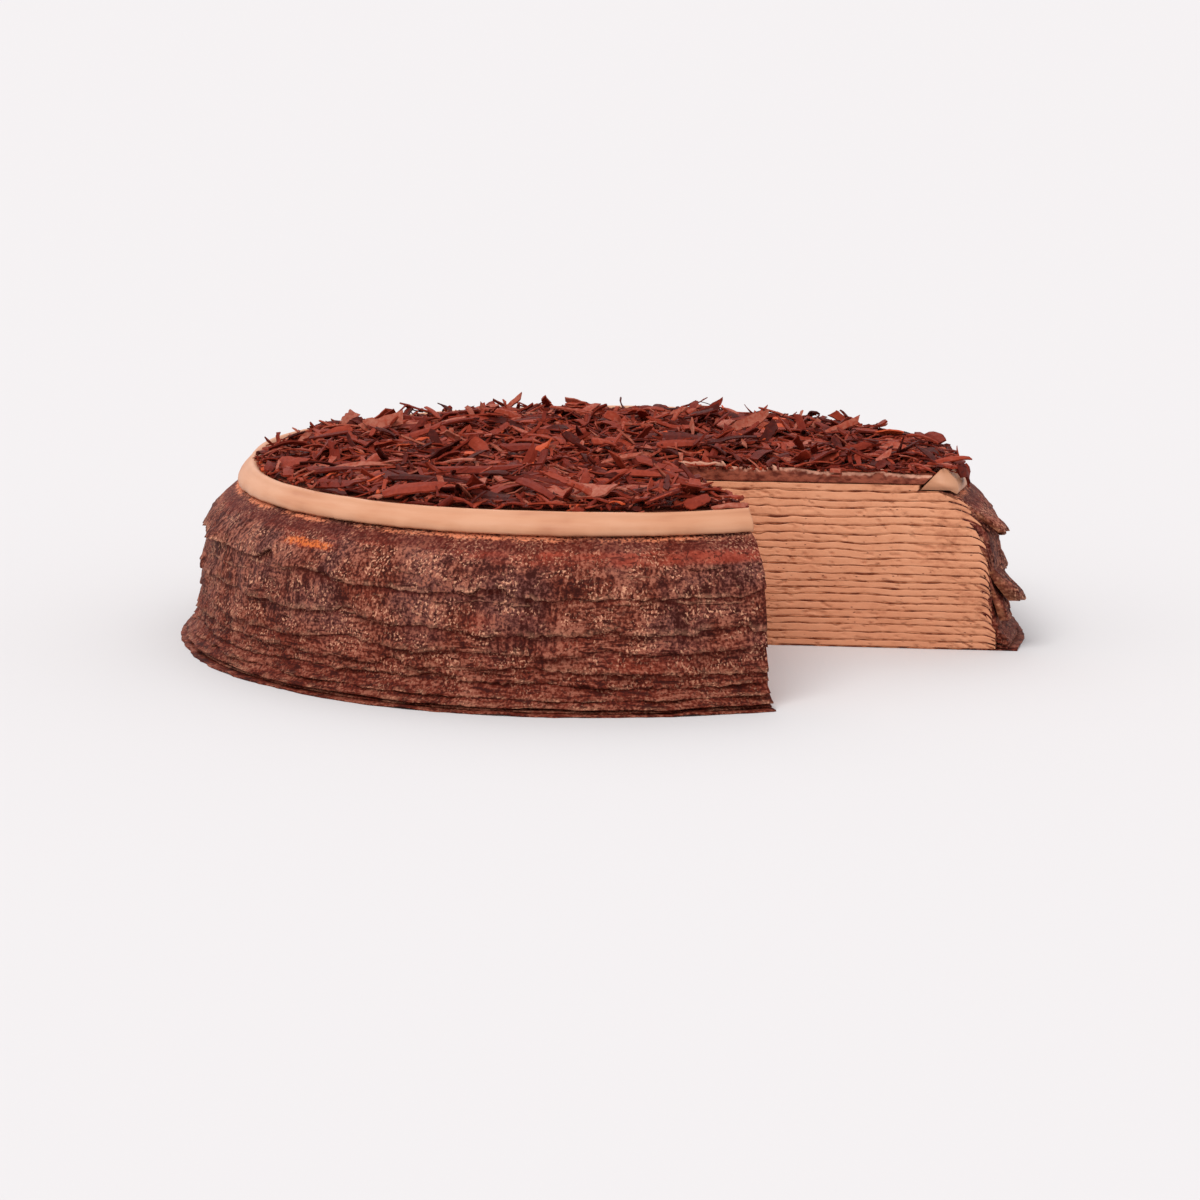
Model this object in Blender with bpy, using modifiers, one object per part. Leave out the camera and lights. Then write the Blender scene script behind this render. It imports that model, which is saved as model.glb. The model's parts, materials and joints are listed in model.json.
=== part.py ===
"""Chocolate mille crepe cake with one wedge cut out, in metres, +Z up.

The origin is the middle of the flat bottom. The cake is a stack of thin crepes with cream between them,
a layer of ganache on top, a ring of piped cream round the rim and a heap of chocolate shavings inside it.
The rim of every crepe bends down over the ones below it, so the side is made of overlapping skirts.
"""

import math
import random

import bmesh
import bpy

MM = 0.001
CLEARANCE = 0.3 * MM
STEPS = 28

# The stack of crepes
CREPES = 21
CREPE_THICKNESS = 0.5 * MM
STACK_HEIGHT = 45.0 * MM
PITCH_GROWTH = 0.22
PITCH_JITTER = 0.14
FOOT_RADIUS = 123.6 * MM
FOOT_UNEVEN = 0.5 * MM

# The outline of the cream inside the skirts
CORE_RADIUS = 116.3 * MM
CORE_LEAN = 0.085
SHOULDER_START = 30.0 * MM
SHOULDER_INSET = 8.0 * MM

# The skirts, whose lengths are counted in layers that they hang down over
SKIRT_STEP = CREPE_THICKNESS + CLEARANCE
SKIRT_LEAN = 0.4
SKIRTS_DEEP = 3.3
SHORT_SKIRT = 2.0
LONG_SKIRT = 4.9
TOP_SKIRT = 5.2
HEM_UNEVEN = 0.22
HEM_TURNS = (3, 5, 8)
LOWEST_HEM = 0.6
LONG_EVERY = 3
SHOULDER_CREPES = 6
SHOULDER_BEND = (5.5 * MM, 0.5)
LOWER_BEND = (2.0 * MM, 0.35)
SHOULDER_DROPS = (0.0, 0.5, 1.2)
LONG_DROPS = (0.0, 0.6)
SHORT_DROPS = (0.1,)
TIP_DROP = 0.45
FLARE_HEIGHT = 8.0 * MM
FLARE_SPREAD = 1.4

# Flaps that have come away from the side at the end of the cut
FLAP_ANGLE = math.radians(-12.0)
FLAP_SPREAD = math.radians(16.0)
FLAP_START = 2.0
FLAP_LIFT = {20: 3.5 * MM, 11: 6.0 * MM}

# The layers on top of the highest crepe
TOP_CREAM_HEIGHT = 1.3 * MM
GANACHE_HEIGHT = 3.4 * MM
RING_FOOT_INNER = 95.2 * MM
RING_FOOT_OUTER = 106.3 * MM
RING_TOP_INNER = 100.6 * MM
RING_TOP_OUTER = 104.4 * MM
RING_HEIGHT = 6.6 * MM
RING_ROUNDING = 1.4 * MM
RING_BULGE_HEIGHT = 2.0 * MM
RING_BULGE = 0.4 * MM
RING_UNDERCUT = 0.6 * MM
HEAP_RADIUS = 99.0 * MM
HEAP_HEIGHT = 4.6 * MM
HEAP_UNEVEN = 1.6 * MM
HEAP_SLOPE = 0.55
HEAP_LOWEST = 1.2 * MM
HEAP_WAVES = 9
HEAP_WAVE_RANGE = (40.0, 150.0)
HEAP_RIM_UNEVEN = 0.7 * MM
HEAP_RIM_TURNS = (5, 9, 13)
HEAP_UNDERCUT = 1.0 * MM
HEAP_RINGS = 6
HEAP_STEPS = 28

# The missing wedge
WEDGE_APEX = (16.0 * MM, -22.5 * MM)
WEDGE_FAR_SIDE = math.radians(-7.5)
WEDGE_NEAR_SIDE = math.radians(-72.5)
WEDGE_REACH = 260.0 * MM
WEDGE_BELOW = 20.0 * MM
WEDGE_HEIGHT = 120.0 * MM

SEED = 17


def clear_scene():
    for obj in list(bpy.data.objects):
        bpy.data.objects.remove(obj, do_unlink=True)


def new_collection(name):
    made = bpy.data.collections.new(name)
    bpy.context.scene.collection.children.link(made)
    return made


def new_material(name, color, roughness):
    made = bpy.data.materials.new(name)
    made.use_nodes = True
    shader = made.node_tree.nodes["Principled BSDF"]
    shader.inputs["Base Color"].default_value = (*color, 1.0)
    shader.inputs["Roughness"].default_value = roughness
    shader.inputs["Metallic"].default_value = 0.0
    return made


def layer_heights():
    """The middle height of each crepe. The layers grow thicker towards the top, each a little uneven."""
    rng = random.Random(SEED)
    last = CREPES - 2
    pitches = []
    for i in range(CREPES - 1):
        growth = PITCH_GROWTH * (i / last - 0.5)
        pitches.append(1.0 + growth + rng.uniform(-PITCH_JITTER, PITCH_JITTER))
    heights = [CREPE_THICKNESS / 2]
    scale = STACK_HEIGHT / sum(pitches)
    for pitch in pitches:
        heights.append(heights[-1] + pitch * scale)
    return heights


HEIGHTS = layer_heights()
STACK_TOP = HEIGHTS[-1] + CREPE_THICKNESS / 2 + CLEARANCE


def height_at(level):
    """The height of a level counted in crepes, so that level 2.5 is halfway between crepes 2 and 3."""
    below = min(max(int(level), 0), CREPES - 2)
    return HEIGHTS[below] + (level - below) * (HEIGHTS[below + 1] - HEIGHTS[below])


def up_the_shoulder(z):
    """How far up the rounded shoulder a height is, from 0 to 1."""
    return max(0.0, (z - SHOULDER_START) / (STACK_HEIGHT - SHOULDER_START))


def core_radius(z):
    """The radius of the cream at a height: it leans in slightly and rounds off at the shoulder."""
    return CORE_RADIUS - CORE_LEAN * z - SHOULDER_INSET * up_the_shoulder(z) ** 2


def spread(z):
    """How much further apart the skirts lie where they slope: on the shoulder, and at the foot's flare."""
    shoulder_lean = 2 * SHOULDER_INSET * up_the_shoulder(z) / (STACK_HEIGHT - SHOULDER_START)
    flare = FLARE_SPREAD * max(0.0, 1.0 - z / FLARE_HEIGHT) ** 2
    return math.hypot(1.0, SKIRT_LEAN + shoulder_lean) + flare


def flap(index, drop, hem, angle):
    """How far a loose flap stands out at a drop below its crepe's level."""
    if index not in FLAP_LIFT or drop <= FLAP_START:
        return 0.0
    along = (drop - FLAP_START) / (hem - FLAP_START)
    across = max(0.0, 1.0 - abs(angle - FLAP_ANGLE) / FLAP_SPREAD)
    return FLAP_LIFT[index] * along**2 * across


def bend_of(index):
    return SHOULDER_BEND if index >= CREPES - SHOULDER_CREPES else LOWER_BEND


def has_long_skirt(index):
    return index % LONG_EVERY == (CREPES - 1) % LONG_EVERY


def skirt_point(index, drop, hem, angle):
    """(radius, height) of a crepe's middle, where its skirt is a number of layers below its own level."""
    z = height_at(index - drop)
    bend, softness = bend_of(index)
    outward = SKIRT_STEP * min(drop, SKIRTS_DEEP) * spread(z) - bend * math.exp(-drop / softness)
    return core_radius(z) + outward + flap(index, drop, hem, angle), z


def random_phases(turns, rng):
    return [(number, rng.uniform(0.0, 2 * math.pi)) for number in turns]


def wave(angle, phases):
    """The mean of a few sine waves round the cake, each with its number of turns and its phase."""
    return sum(math.sin(turns * angle + phase) for turns, phase in phases) / len(phases)


def hem_length(index, angle, phases):
    """How many layers a skirt hangs down, which varies round the cake."""
    if index == CREPES - 1:
        length = TOP_SKIRT
    elif has_long_skirt(index):
        length = LONG_SKIRT
    else:
        length = SHORT_SKIRT
    return min(length + HEM_UNEVEN * wave(angle, phases), index - LOWEST_HEM)


def skirt_drops(index, hem):
    if index >= CREPES - SHOULDER_CREPES:
        drops = SHOULDER_DROPS
    elif has_long_skirt(index):
        drops = LONG_DROPS
    else:
        drops = SHORT_DROPS
    return [drop for drop in (*drops, SKIRTS_DEEP) if drop < hem] + [hem]


def crepe_section(index, angle, phases):
    """The middle line of a crepe from the axis to its hem."""
    if index == 0:
        return [(0.0, HEIGHTS[0]), (FOOT_RADIUS + FOOT_UNEVEN * wave(angle, phases), HEIGHTS[0])]
    hem = hem_length(index, angle, phases)
    drops = skirt_drops(index, hem)
    start, _ = skirt_point(index, drops[0], hem, angle)
    line = [(0.0, HEIGHTS[index]), (start, HEIGHTS[index])]
    return line + [skirt_point(index, drop, hem, angle) for drop in drops[1:]]


def both_sides(line, thickness):
    """The outer and inner outlines of a sheet whose middle line is given, mitred at each bend."""
    outer, inner = [], []
    for i, (r, z) in enumerate(line):
        normals = []
        for a, b in ((i - 1, i), (i, i + 1)):
            if a < 0 or b >= len(line):
                continue
            dr, dz = line[b][0] - line[a][0], line[b][1] - line[a][1]
            length = math.hypot(dr, dz)
            normals.append((-dz / length, dr / length))
        nr = sum(n[0] for n in normals)
        nz = sum(n[1] for n in normals)
        scale = thickness / 2 * len(normals) / (nr * nr + nz * nz)
        outer.append((r + nr * scale, z + nz * scale))
        inner.append((r - nr * scale, z - nz * scale))
    return outer, inner


def loft_round(name, sections):
    """A closed body whose outline changes round the axis. Each section runs from the axis on top, out, and back."""
    mesh = bpy.data.meshes.new(name)
    work = bmesh.new()
    steps = len(sections)
    top = work.verts.new((0.0, 0.0, sections[0][0][1]))
    bottom = work.verts.new((0.0, 0.0, sections[0][-1][1]))
    columns = []
    for step, section in enumerate(sections):
        angle = 2 * math.pi * step / steps
        cos, sin = math.cos(angle), math.sin(angle)
        columns.append([work.verts.new((r * cos, r * sin, z)) for r, z in section[1:-1]])
    for step, column in enumerate(columns):
        after = columns[(step + 1) % steps]
        work.faces.new((top, column[0], after[0]))
        for i in range(len(column) - 1):
            work.faces.new((column[i], column[i + 1], after[i + 1], after[i]))
        work.faces.new((column[-1], bottom, after[-1]))
    work.to_mesh(mesh)
    work.free()
    return mesh


def turn(name, outline):
    """A body turned from an outline of (radius, height), listed down its outer side from the top."""
    closed = outline[0][0] > 0.0
    mesh = bpy.data.meshes.new(name)
    count = len(outline)
    edges = [(i, (i + 1) % count) for i in range(count if closed else count - 1)]
    mesh.from_pydata([(r, 0.0, z) for r, z in outline], edges, [])
    obj = bpy.data.objects.new(name, mesh)
    screw = obj.modifiers.new("turn", "SCREW")
    screw.steps = screw.render_steps = STEPS
    screw.use_merge_vertices = True
    screw.merge_threshold = 0.01 * MM
    return obj


def make_crepe(index, rng):
    phases = random_phases(HEM_TURNS, rng)
    sections = []
    for step in range(STEPS):
        angle = 2 * math.pi * step / STEPS
        signed = angle - 2 * math.pi if angle > math.pi else angle
        outer, inner = both_sides(crepe_section(index, signed, phases), CREPE_THICKNESS)
        sections.append(outer + inner[::-1])
    name = f"crepe_{index:02d}"
    return bpy.data.objects.new(name, loft_round(name, sections))


def cream_tip(index):
    """Where the cream on a shoulder crepe runs out, halfway between the two crepes as they bend down."""
    r, z_under = skirt_point(index, TIP_DROP, SHORT_SKIRT, math.pi)
    near, far = [skirt_point(index + 1, drop, SHORT_SKIRT, math.pi) for drop in SHOULDER_DROPS[1:]]
    z_over = near[1] + (r - near[0]) / (far[0] - near[0]) * (far[1] - near[1])
    return r, (z_under + z_over) / 2


def make_cream(index):
    """The cream on a crepe, out to where the crepe above it bends down."""
    bottom = HEIGHTS[index] + CREPE_THICKNESS / 2 + CLEARANCE
    top = HEIGHTS[index + 1] - CREPE_THICKNESS / 2 - CLEARANCE
    bend, _ = bend_of(index + 1)
    edge = core_radius(HEIGHTS[index + 1]) - bend
    outline = [(0.0, top), (edge, top)]
    if bend_of(index) == SHOULDER_BEND:
        outline.append(cream_tip(index))
        foot = skirt_point(index, 0.0, SHORT_SKIRT, math.pi)[0]
    else:
        foot = edge + CORE_LEAN * (top - bottom)
    outline += [(foot, bottom), (0.0, bottom)]
    return turn(f"cream_{index:02d}", outline)


def make_top_cream():
    top = STACK_TOP + TOP_CREAM_HEIGHT
    edge = RING_FOOT_INNER - CLEARANCE
    outline = [(0.0, top), (edge, top), (edge, STACK_TOP), (0.0, STACK_TOP)]
    return turn(f"cream_{CREPES - 1:02d}", outline)


def make_ring():
    """The piped ring: a rounded top, a steep outer side and a gentle slope inside."""
    top = STACK_TOP + RING_HEIGHT
    outline = [
        (RING_TOP_INNER + RING_ROUNDING, top),
        (RING_TOP_OUTER - RING_ROUNDING, top - 0.2 * RING_ROUNDING),
        (RING_TOP_OUTER, top - RING_ROUNDING),
        (RING_FOOT_OUTER + RING_BULGE - RING_UNDERCUT, STACK_TOP + RING_BULGE_HEIGHT),
        (RING_FOOT_OUTER - RING_UNDERCUT, STACK_TOP),
        (RING_FOOT_INNER, STACK_TOP),
        (RING_TOP_INNER, top - RING_ROUNDING / 2),
    ]
    return turn("cream_ring", outline)


def make_ganache():
    """The ganache fills the ring, so its edge follows the ring's inner slope."""
    bottom = STACK_TOP + TOP_CREAM_HEIGHT + CLEARANCE
    top = bottom + GANACHE_HEIGHT
    slope = (RING_TOP_INNER - RING_FOOT_INNER) / (RING_HEIGHT - RING_ROUNDING / 2)
    outline = [(0.0, top)]
    for z in (top, bottom):
        outline.append((RING_FOOT_INNER + slope * (z - STACK_TOP) - 2 * CLEARANCE, z))
    outline.append((0.0, bottom))
    return turn("ganache", outline)


def heap_waves(rng):
    """The waves that make the heap bumpy, each with its frequency, its direction and its phase."""
    waves = []
    for _ in range(HEAP_WAVES):
        frequency = rng.uniform(*HEAP_WAVE_RANGE)
        direction, phase = rng.uniform(0.0, 2 * math.pi), rng.uniform(0.0, 2 * math.pi)
        waves.append((frequency, direction, phase))
    return waves


def heap_bump(x, y, waves):
    total = 0.0
    for frequency, direction, phase in waves:
        along = x * math.cos(direction) + y * math.sin(direction)
        total += math.sin(frequency * along + phase)
    return HEAP_UNEVEN * total / math.sqrt(len(waves))


def make_heap(rng):
    """The heap of shavings out to its uneven outline, as one bumpy mound on the ganache."""
    base = STACK_TOP + TOP_CREAM_HEIGHT + GANACHE_HEIGHT + 2 * CLEARANCE
    waves = heap_waves(rng)
    phases = random_phases(HEAP_RIM_TURNS, rng)
    sections = []
    for step in range(HEAP_STEPS):
        angle = 2 * math.pi * step / HEAP_STEPS
        rim = HEAP_RADIUS + HEAP_RIM_UNEVEN * wave(angle, phases)
        section = [(0.0, base + HEAP_HEIGHT + heap_bump(0.0, 0.0, waves))]
        for ring in range(1, HEAP_RINGS + 1):
            share = ring / HEAP_RINGS
            r = rim * share
            height = HEAP_HEIGHT * (1.0 - HEAP_SLOPE * share**4)
            height += heap_bump(r * math.cos(angle), r * math.sin(angle), waves)
            section.append((r, base + max(height, HEAP_LOWEST)))
        section += [(rim - HEAP_UNDERCUT, base), (0.0, base)]
        sections.append(section)
    return bpy.data.objects.new("shavings", loft_round("shavings", sections))


def make_wedge_cutter(cutters):
    """A prism over the missing wedge, from its point inside the cake to well past the side."""
    mesh = bpy.data.meshes.new("wedge_cutter")
    work = bmesh.new()
    corners = [WEDGE_APEX]
    for way in (WEDGE_NEAR_SIDE, WEDGE_FAR_SIDE):
        x = WEDGE_APEX[0] + WEDGE_REACH * math.cos(way)
        y = WEDGE_APEX[1] + WEDGE_REACH * math.sin(way)
        corners.append((x, y))
    base = work.faces.new([work.verts.new((x, y, -WEDGE_BELOW)) for x, y in corners])
    raised = bmesh.ops.extrude_face_region(work, geom=[base])["geom"]
    lifted = [item for item in raised if isinstance(item, bmesh.types.BMVert)]
    bmesh.ops.translate(work, verts=lifted, vec=(0.0, 0.0, WEDGE_HEIGHT))
    bmesh.ops.recalc_face_normals(work, faces=work.faces)
    work.to_mesh(mesh)
    work.free()
    cutter = bpy.data.objects.new("wedge_cutter", mesh)
    cutter.hide_render = True
    cutter.display_type = "WIRE"
    cutters.objects.link(cutter)
    return cutter


def add_piece(parts, obj, material, cutter):
    parts.objects.link(obj)
    obj.data.materials.append(material)
    obj.data.shade_smooth()
    cut = obj.modifiers.new("missing wedge", "BOOLEAN")
    cut.operation = "DIFFERENCE"
    cut.solver = "EXACT"
    cut.object = cutter
    return obj


def main():
    clear_scene()
    parts = new_collection("crepe_cake")
    cutters = new_collection("cutters")
    cutter = make_wedge_cutter(cutters)
    crepe = new_material("browned_crepe", (0.155, 0.052, 0.033), 0.75)
    cream = new_material("chocolate_cream", (0.60, 0.32, 0.19), 0.6)
    ganache = new_material("ganache", (0.22, 0.085, 0.05), 0.5)
    piped = new_material("piped_cream", (0.80, 0.49, 0.32), 0.45)
    chocolate = new_material("chocolate", (0.085, 0.022, 0.015), 0.5)
    rng = random.Random(SEED)
    for index in range(CREPES):
        add_piece(parts, make_crepe(index, rng), crepe, cutter)
    for index in range(CREPES - 1):
        add_piece(parts, make_cream(index), cream, cutter)
    add_piece(parts, make_top_cream(), cream, cutter)
    add_piece(parts, make_ring(), piped, cutter)
    add_piece(parts, make_ganache(), ganache, cutter)
    add_piece(parts, make_heap(rng), chocolate, cutter)


if __name__ == "__main__":
    main()
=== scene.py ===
"""The looks of the chocolate mille crepe cake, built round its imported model.

Every size is in metres, +Z is up and the origin is the middle of the flat bottom. The cake is described
from the point of its missing wedge: a direction from that point and a radius from the cake's middle
give a place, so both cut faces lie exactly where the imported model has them.
"""

from __future__ import annotations

import itertools
import json
import logging
import math
from collections.abc import Callable
from dataclasses import dataclass, field
from enum import Enum
from typing import Any

import bpy
import numpy as np
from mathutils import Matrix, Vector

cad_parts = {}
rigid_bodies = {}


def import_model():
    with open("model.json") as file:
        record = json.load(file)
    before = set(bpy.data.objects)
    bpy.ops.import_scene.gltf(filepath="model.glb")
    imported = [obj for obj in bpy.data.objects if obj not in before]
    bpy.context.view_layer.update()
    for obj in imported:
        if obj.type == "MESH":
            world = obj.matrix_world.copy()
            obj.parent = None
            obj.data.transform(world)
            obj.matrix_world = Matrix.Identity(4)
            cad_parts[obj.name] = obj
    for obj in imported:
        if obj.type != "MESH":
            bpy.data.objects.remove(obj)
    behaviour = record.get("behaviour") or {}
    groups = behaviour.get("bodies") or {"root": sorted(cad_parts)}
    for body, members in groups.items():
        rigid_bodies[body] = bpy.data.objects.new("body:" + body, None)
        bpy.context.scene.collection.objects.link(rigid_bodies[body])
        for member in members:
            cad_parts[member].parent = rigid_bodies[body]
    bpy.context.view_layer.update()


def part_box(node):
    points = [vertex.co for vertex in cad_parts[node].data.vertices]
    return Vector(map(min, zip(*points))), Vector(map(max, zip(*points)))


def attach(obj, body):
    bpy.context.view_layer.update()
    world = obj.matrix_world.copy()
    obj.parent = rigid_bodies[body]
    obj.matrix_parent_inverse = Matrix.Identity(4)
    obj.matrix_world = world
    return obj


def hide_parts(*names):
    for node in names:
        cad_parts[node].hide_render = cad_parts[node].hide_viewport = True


Array = np.ndarray
Arrays = tuple[Array, ...]
Numbers = Array | float
Pair = tuple[float, float]
Triple = tuple[float, float, float]
Color = Triple
Heights = Callable[[Array, Array], Array]
Material = bpy.types.Material
Object = bpy.types.Object
Socket = bpy.types.NodeSocket

MM = 0.001
BODY = "root"
CREPES = 21
CREPE_THICKNESS = 0.5 * MM
SIDE_RADIUS = 117.0 * MM

LOG = logging.getLogger("crepe_cake")
join = np.concatenate


def shade(red: float, green: float, blue: float) -> Color:
    """Turns a colour as a screen shows it, from 0 to 1, into the linear values that a shader takes."""
    return tuple(c / 12.92 if c < 0.04045 else ((c + 0.055) / 1.055) ** 2.4 for c in (red, green, blue))


def ease(low: Numbers, high: Numbers, value: Array) -> Array:
    """Rises smoothly from 0 to 1 as a value goes from low to high, or falls where low is above high."""
    share = np.clip((value - low) / (high - low), 0.0, 1.0)
    return share * share * (3.0 - 2.0 * share)


def link(name: str, data: bpy.types.ID) -> Object:
    """Makes an object and links it to the scene.

    Args:
        name: Its name.
        data: Its mesh, lamp or camera.

    Returns:
        The object.
    """
    obj = bpy.data.objects.new(name, data)
    bpy.context.scene.collection.objects.link(obj)
    return obj


class Noise:
    """Smooth random values over space, the same on every run."""

    def __init__(self, seed: int) -> None:
        """Draws the table of values.

        Args:
            seed: The number that fixes the values.
        """
        rng = np.random.default_rng(seed)
        self.order = rng.permutation(256)
        self.values = rng.uniform(-1.0, 1.0, 256)

    def smooth(self, x: Array, y: Numbers, z: float) -> Array:
        """Gives one layer of noise.

        Args:
            x: The first coordinate, in cells.
            y: The second coordinate.
            z: The third coordinate.

        Returns:
            Values from -1 to 1 that change over about one cell.
        """
        axes = np.broadcast_arrays(np.asarray(x, float), np.asarray(y, float), np.asarray(z, float))
        cells = [np.floor(axis).astype(np.int64) for axis in axes]
        blends = [(axis - cell) ** 2 * (3.0 - 2.0 * (axis - cell)) for axis, cell in zip(axes, cells)]
        total = np.zeros(axes[0].shape)
        for corner in itertools.product((0, 1), repeat=3):
            index = np.zeros(axes[0].shape, np.int64)
            weight = np.ones(axes[0].shape)
            for cell, blend, step in zip(cells, blends, corner):
                index = self.order[(index + cell + step) & 255]
                weight = weight * (blend if step else 1.0 - blend)
            total += weight * self.values[index]
        return total

    def layered(self, x: Array, y: Numbers, z: float, octaves: int = 3) -> Array:
        """Adds ever finer and weaker layers of noise.

        Args:
            x: The first coordinate, in cells of the coarsest layer.
            y: The second coordinate.
            z: The third coordinate.
            octaves: How many layers there are.

        Returns:
            Values of about -1 to 1.
        """
        total, weight, scale, whole = 0.0, 1.0, 1.0, 0.0
        for octave in range(octaves):
            shift = 17.3 * octave
            total = total + weight * self.smooth(x * scale + shift, y * scale - shift, z * scale + shift)
            whole += weight
            weight *= 0.5
            scale *= 2.0
        return total / whole

    def over(self, wide: float, high: float, x: Array, y: Array, z: float, octaves: int = 2) -> Array:
        """Gives layered noise in patches so wide along x and so high along y, in millimetres."""
        return self.layered(x / (wide * MM), y / (high * MM), z, octaves)

    def ridged(self, x: Array, y: Array, z: float) -> Array:
        """Gives noise with sharp creases where it crosses zero, from 0 in a crease to about 1."""
        return np.abs(self.layered(x, y, z, 2)) * 2.0


class Form:
    """Collects the points and faces of one piece, with named values on its points."""

    def __init__(self) -> None:
        """Starts with no points."""
        self.points: list[Array] = []
        self.channels: dict[str, list[Array]] = {}
        self.loops: list[Array] = []
        self.sizes: list[Array] = []
        self.count = 0

    def add_points(self, points: Array, **channels: Numbers) -> Array:
        """Adds a grid or a line of points.

        Args:
            points: The places, with x, y and z along the last axis.
            **channels: A value of each name for every point.

        Returns:
            The points' numbers, in the shape of the grid.
        """
        shape = points.shape[:-1]
        total = int(np.prod(shape))
        for name, value in channels.items():
            known = self.channels.setdefault(name, [np.zeros(self.count)] if self.count else [])
            known.append(np.broadcast_to(value, shape).reshape(-1))
        self.points.append(points.reshape(-1, 3))
        self.count += total
        for name, known in self.channels.items():
            if name not in channels:
                known.append(np.zeros(total))
        return np.arange(self.count - total, self.count).reshape(shape)

    def add_grid(self, index: Array, flip: bool = False) -> None:
        """Joins a grid of points with quads, which face whoever sees rows run down and columns right.

        Args:
            index: The points' numbers in rows and columns.
            flip: Whether the quads face the other way.
        """
        corners = [index[:-1, :-1], index[1:, :-1], index[1:, 1:], index[:-1, 1:]]
        quads = np.stack(corners[::-1] if flip else corners, axis=-1).reshape(-1, 4)
        self.loops.append(quads.reshape(-1))
        self.sizes.append(np.full(len(quads), 4))

    def add_polygon(self, index: Array) -> None:
        """Adds one many-sided face, which faces a viewer who sees its points run counter-clockwise."""
        self.loops.append(np.asarray(index).reshape(-1))
        self.sizes.append(np.array([len(index)]))

    def add_tube(self, rings: Array) -> None:
        """Joins rings of points, each a row that closes on itself, and closes both ends.

        Args:
            rings: The points' numbers, seen from the first end running clockwise.
        """
        self.add_grid(join([rings, rings[:, :1]], axis=1))
        self.add_polygon(rings[0])
        self.add_polygon(rings[-1][::-1])

    def build(self, name: str, smooth: bool = True) -> Object:
        """Makes the piece's object.

        Args:
            name: The object's name.
            smooth: Whether its faces are shaded smooth.

        Returns:
            The object, linked to the scene.
        """
        points = join(self.points).astype(np.float32)
        loops = join(self.loops).astype(np.int32)
        sizes = join(self.sizes).astype(np.int32)
        mesh = bpy.data.meshes.new(name)
        mesh.vertices.add(len(points))
        mesh.vertices.foreach_set("co", points.reshape(-1))
        mesh.loops.add(len(loops))
        mesh.loops.foreach_set("vertex_index", loops)
        mesh.polygons.add(len(sizes))
        starts = join([[0], np.cumsum(sizes)[:-1]])
        mesh.polygons.foreach_set("loop_start", starts.astype(np.int32))
        mesh.polygons.foreach_set("use_smooth", np.full(len(sizes), smooth))
        mesh.update(calc_edges=True)
        mesh.validate()
        for channel, values in self.channels.items():
            stored = mesh.attributes.new(channel, "FLOAT", "POINT")
            stored.data.foreach_set("value", join(values).astype(np.float32))
        return link(name, mesh)


class NodeGraph:
    """Adds nodes to a tree, each with its settings, values and links in one call."""

    def __init__(self, tree: bpy.types.NodeTree) -> None:
        """Keeps the shader or geometry tree that nodes go into."""
        self.tree = tree

    def connect(self, value: Any, target: Socket) -> None:
        """Links a socket, or sets a number, a colour or a name.

        Args:
            value: A Value, a socket, or what the socket is set to.
            target: The socket that takes it.
        """
        if isinstance(value, Value):
            value = value.socket
        if isinstance(value, Socket):
            self.tree.links.new(value, target)
        elif target.type == "RGBA":
            target.default_value = (*value, 1.0)
        else:
            target.default_value = value

    def node(self, kind: str, sockets: dict | None = None, **settings: Any) -> bpy.types.Node:
        """Adds a node of any type.

        Args:
            kind: The node's type.
            sockets: Values or links of its sockets, by name or number.
            **settings: Its settings, set first. Of a ramp, "stops" gives pairs of a place and a colour.

        Returns:
            The node.
        """
        made = self.tree.nodes.new(kind)
        for name, value in settings.items():
            if name == "stops":
                stops = made.color_ramp.elements
                while len(stops) < len(value):
                    stops.new(1.0)
                for stop, (place, color) in zip(stops, value):
                    stop.position, stop.color = place, (*color, 1.0)
            else:
                setattr(made, name, value)
        for name, value in (sockets or {}).items():
            self.connect(value, made.inputs[name])
        return made


class Value:
    """A shader socket that takes part in Python arithmetic by adding Math nodes."""

    def __init__(self, graph: NodeGraph, socket: Socket) -> None:
        """Wraps an output that gives a number, and keeps the graph that new nodes go into."""
        self.graph = graph
        self.socket = socket

    def math(self, operation: str, first: Any, second: Any = 0.0) -> Value:
        """Adds a Math node for two values and gives its result."""
        made = self.graph.node("ShaderNodeMath", {0: first, 1: second}, operation=operation)
        return Value(self.graph, made.outputs[0])

    def __add__(self, other: Value | float) -> Value:
        """Adds."""
        return self.math("ADD", self, other)

    def __sub__(self, other: Value | float) -> Value:
        """Subtracts."""
        return self.math("SUBTRACT", self, other)

    def __rsub__(self, other: float) -> Value:
        """Subtracts this from a number."""
        return self.math("SUBTRACT", other, self)

    def __mul__(self, other: Value | float) -> Value:
        """Multiplies."""
        return self.math("MULTIPLY", self, other)

    def step(self, low: float, high: float) -> Value:
        """Rises smoothly from 0 to 1 as the value goes from low to high.

        Args:
            low: The value that gives 0.
            high: The value that gives 1.

        Returns:
            The result, from 0 to 1.
        """
        if low > high:
            return 1.0 - self.step(high, low)
        sockets = {"Value": self, "From Min": low, "From Max": high}
        made = self.graph.node("ShaderNodeMapRange", sockets, interpolation_type="SMOOTHSTEP")
        return Value(self.graph, made.outputs["Result"])


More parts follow.
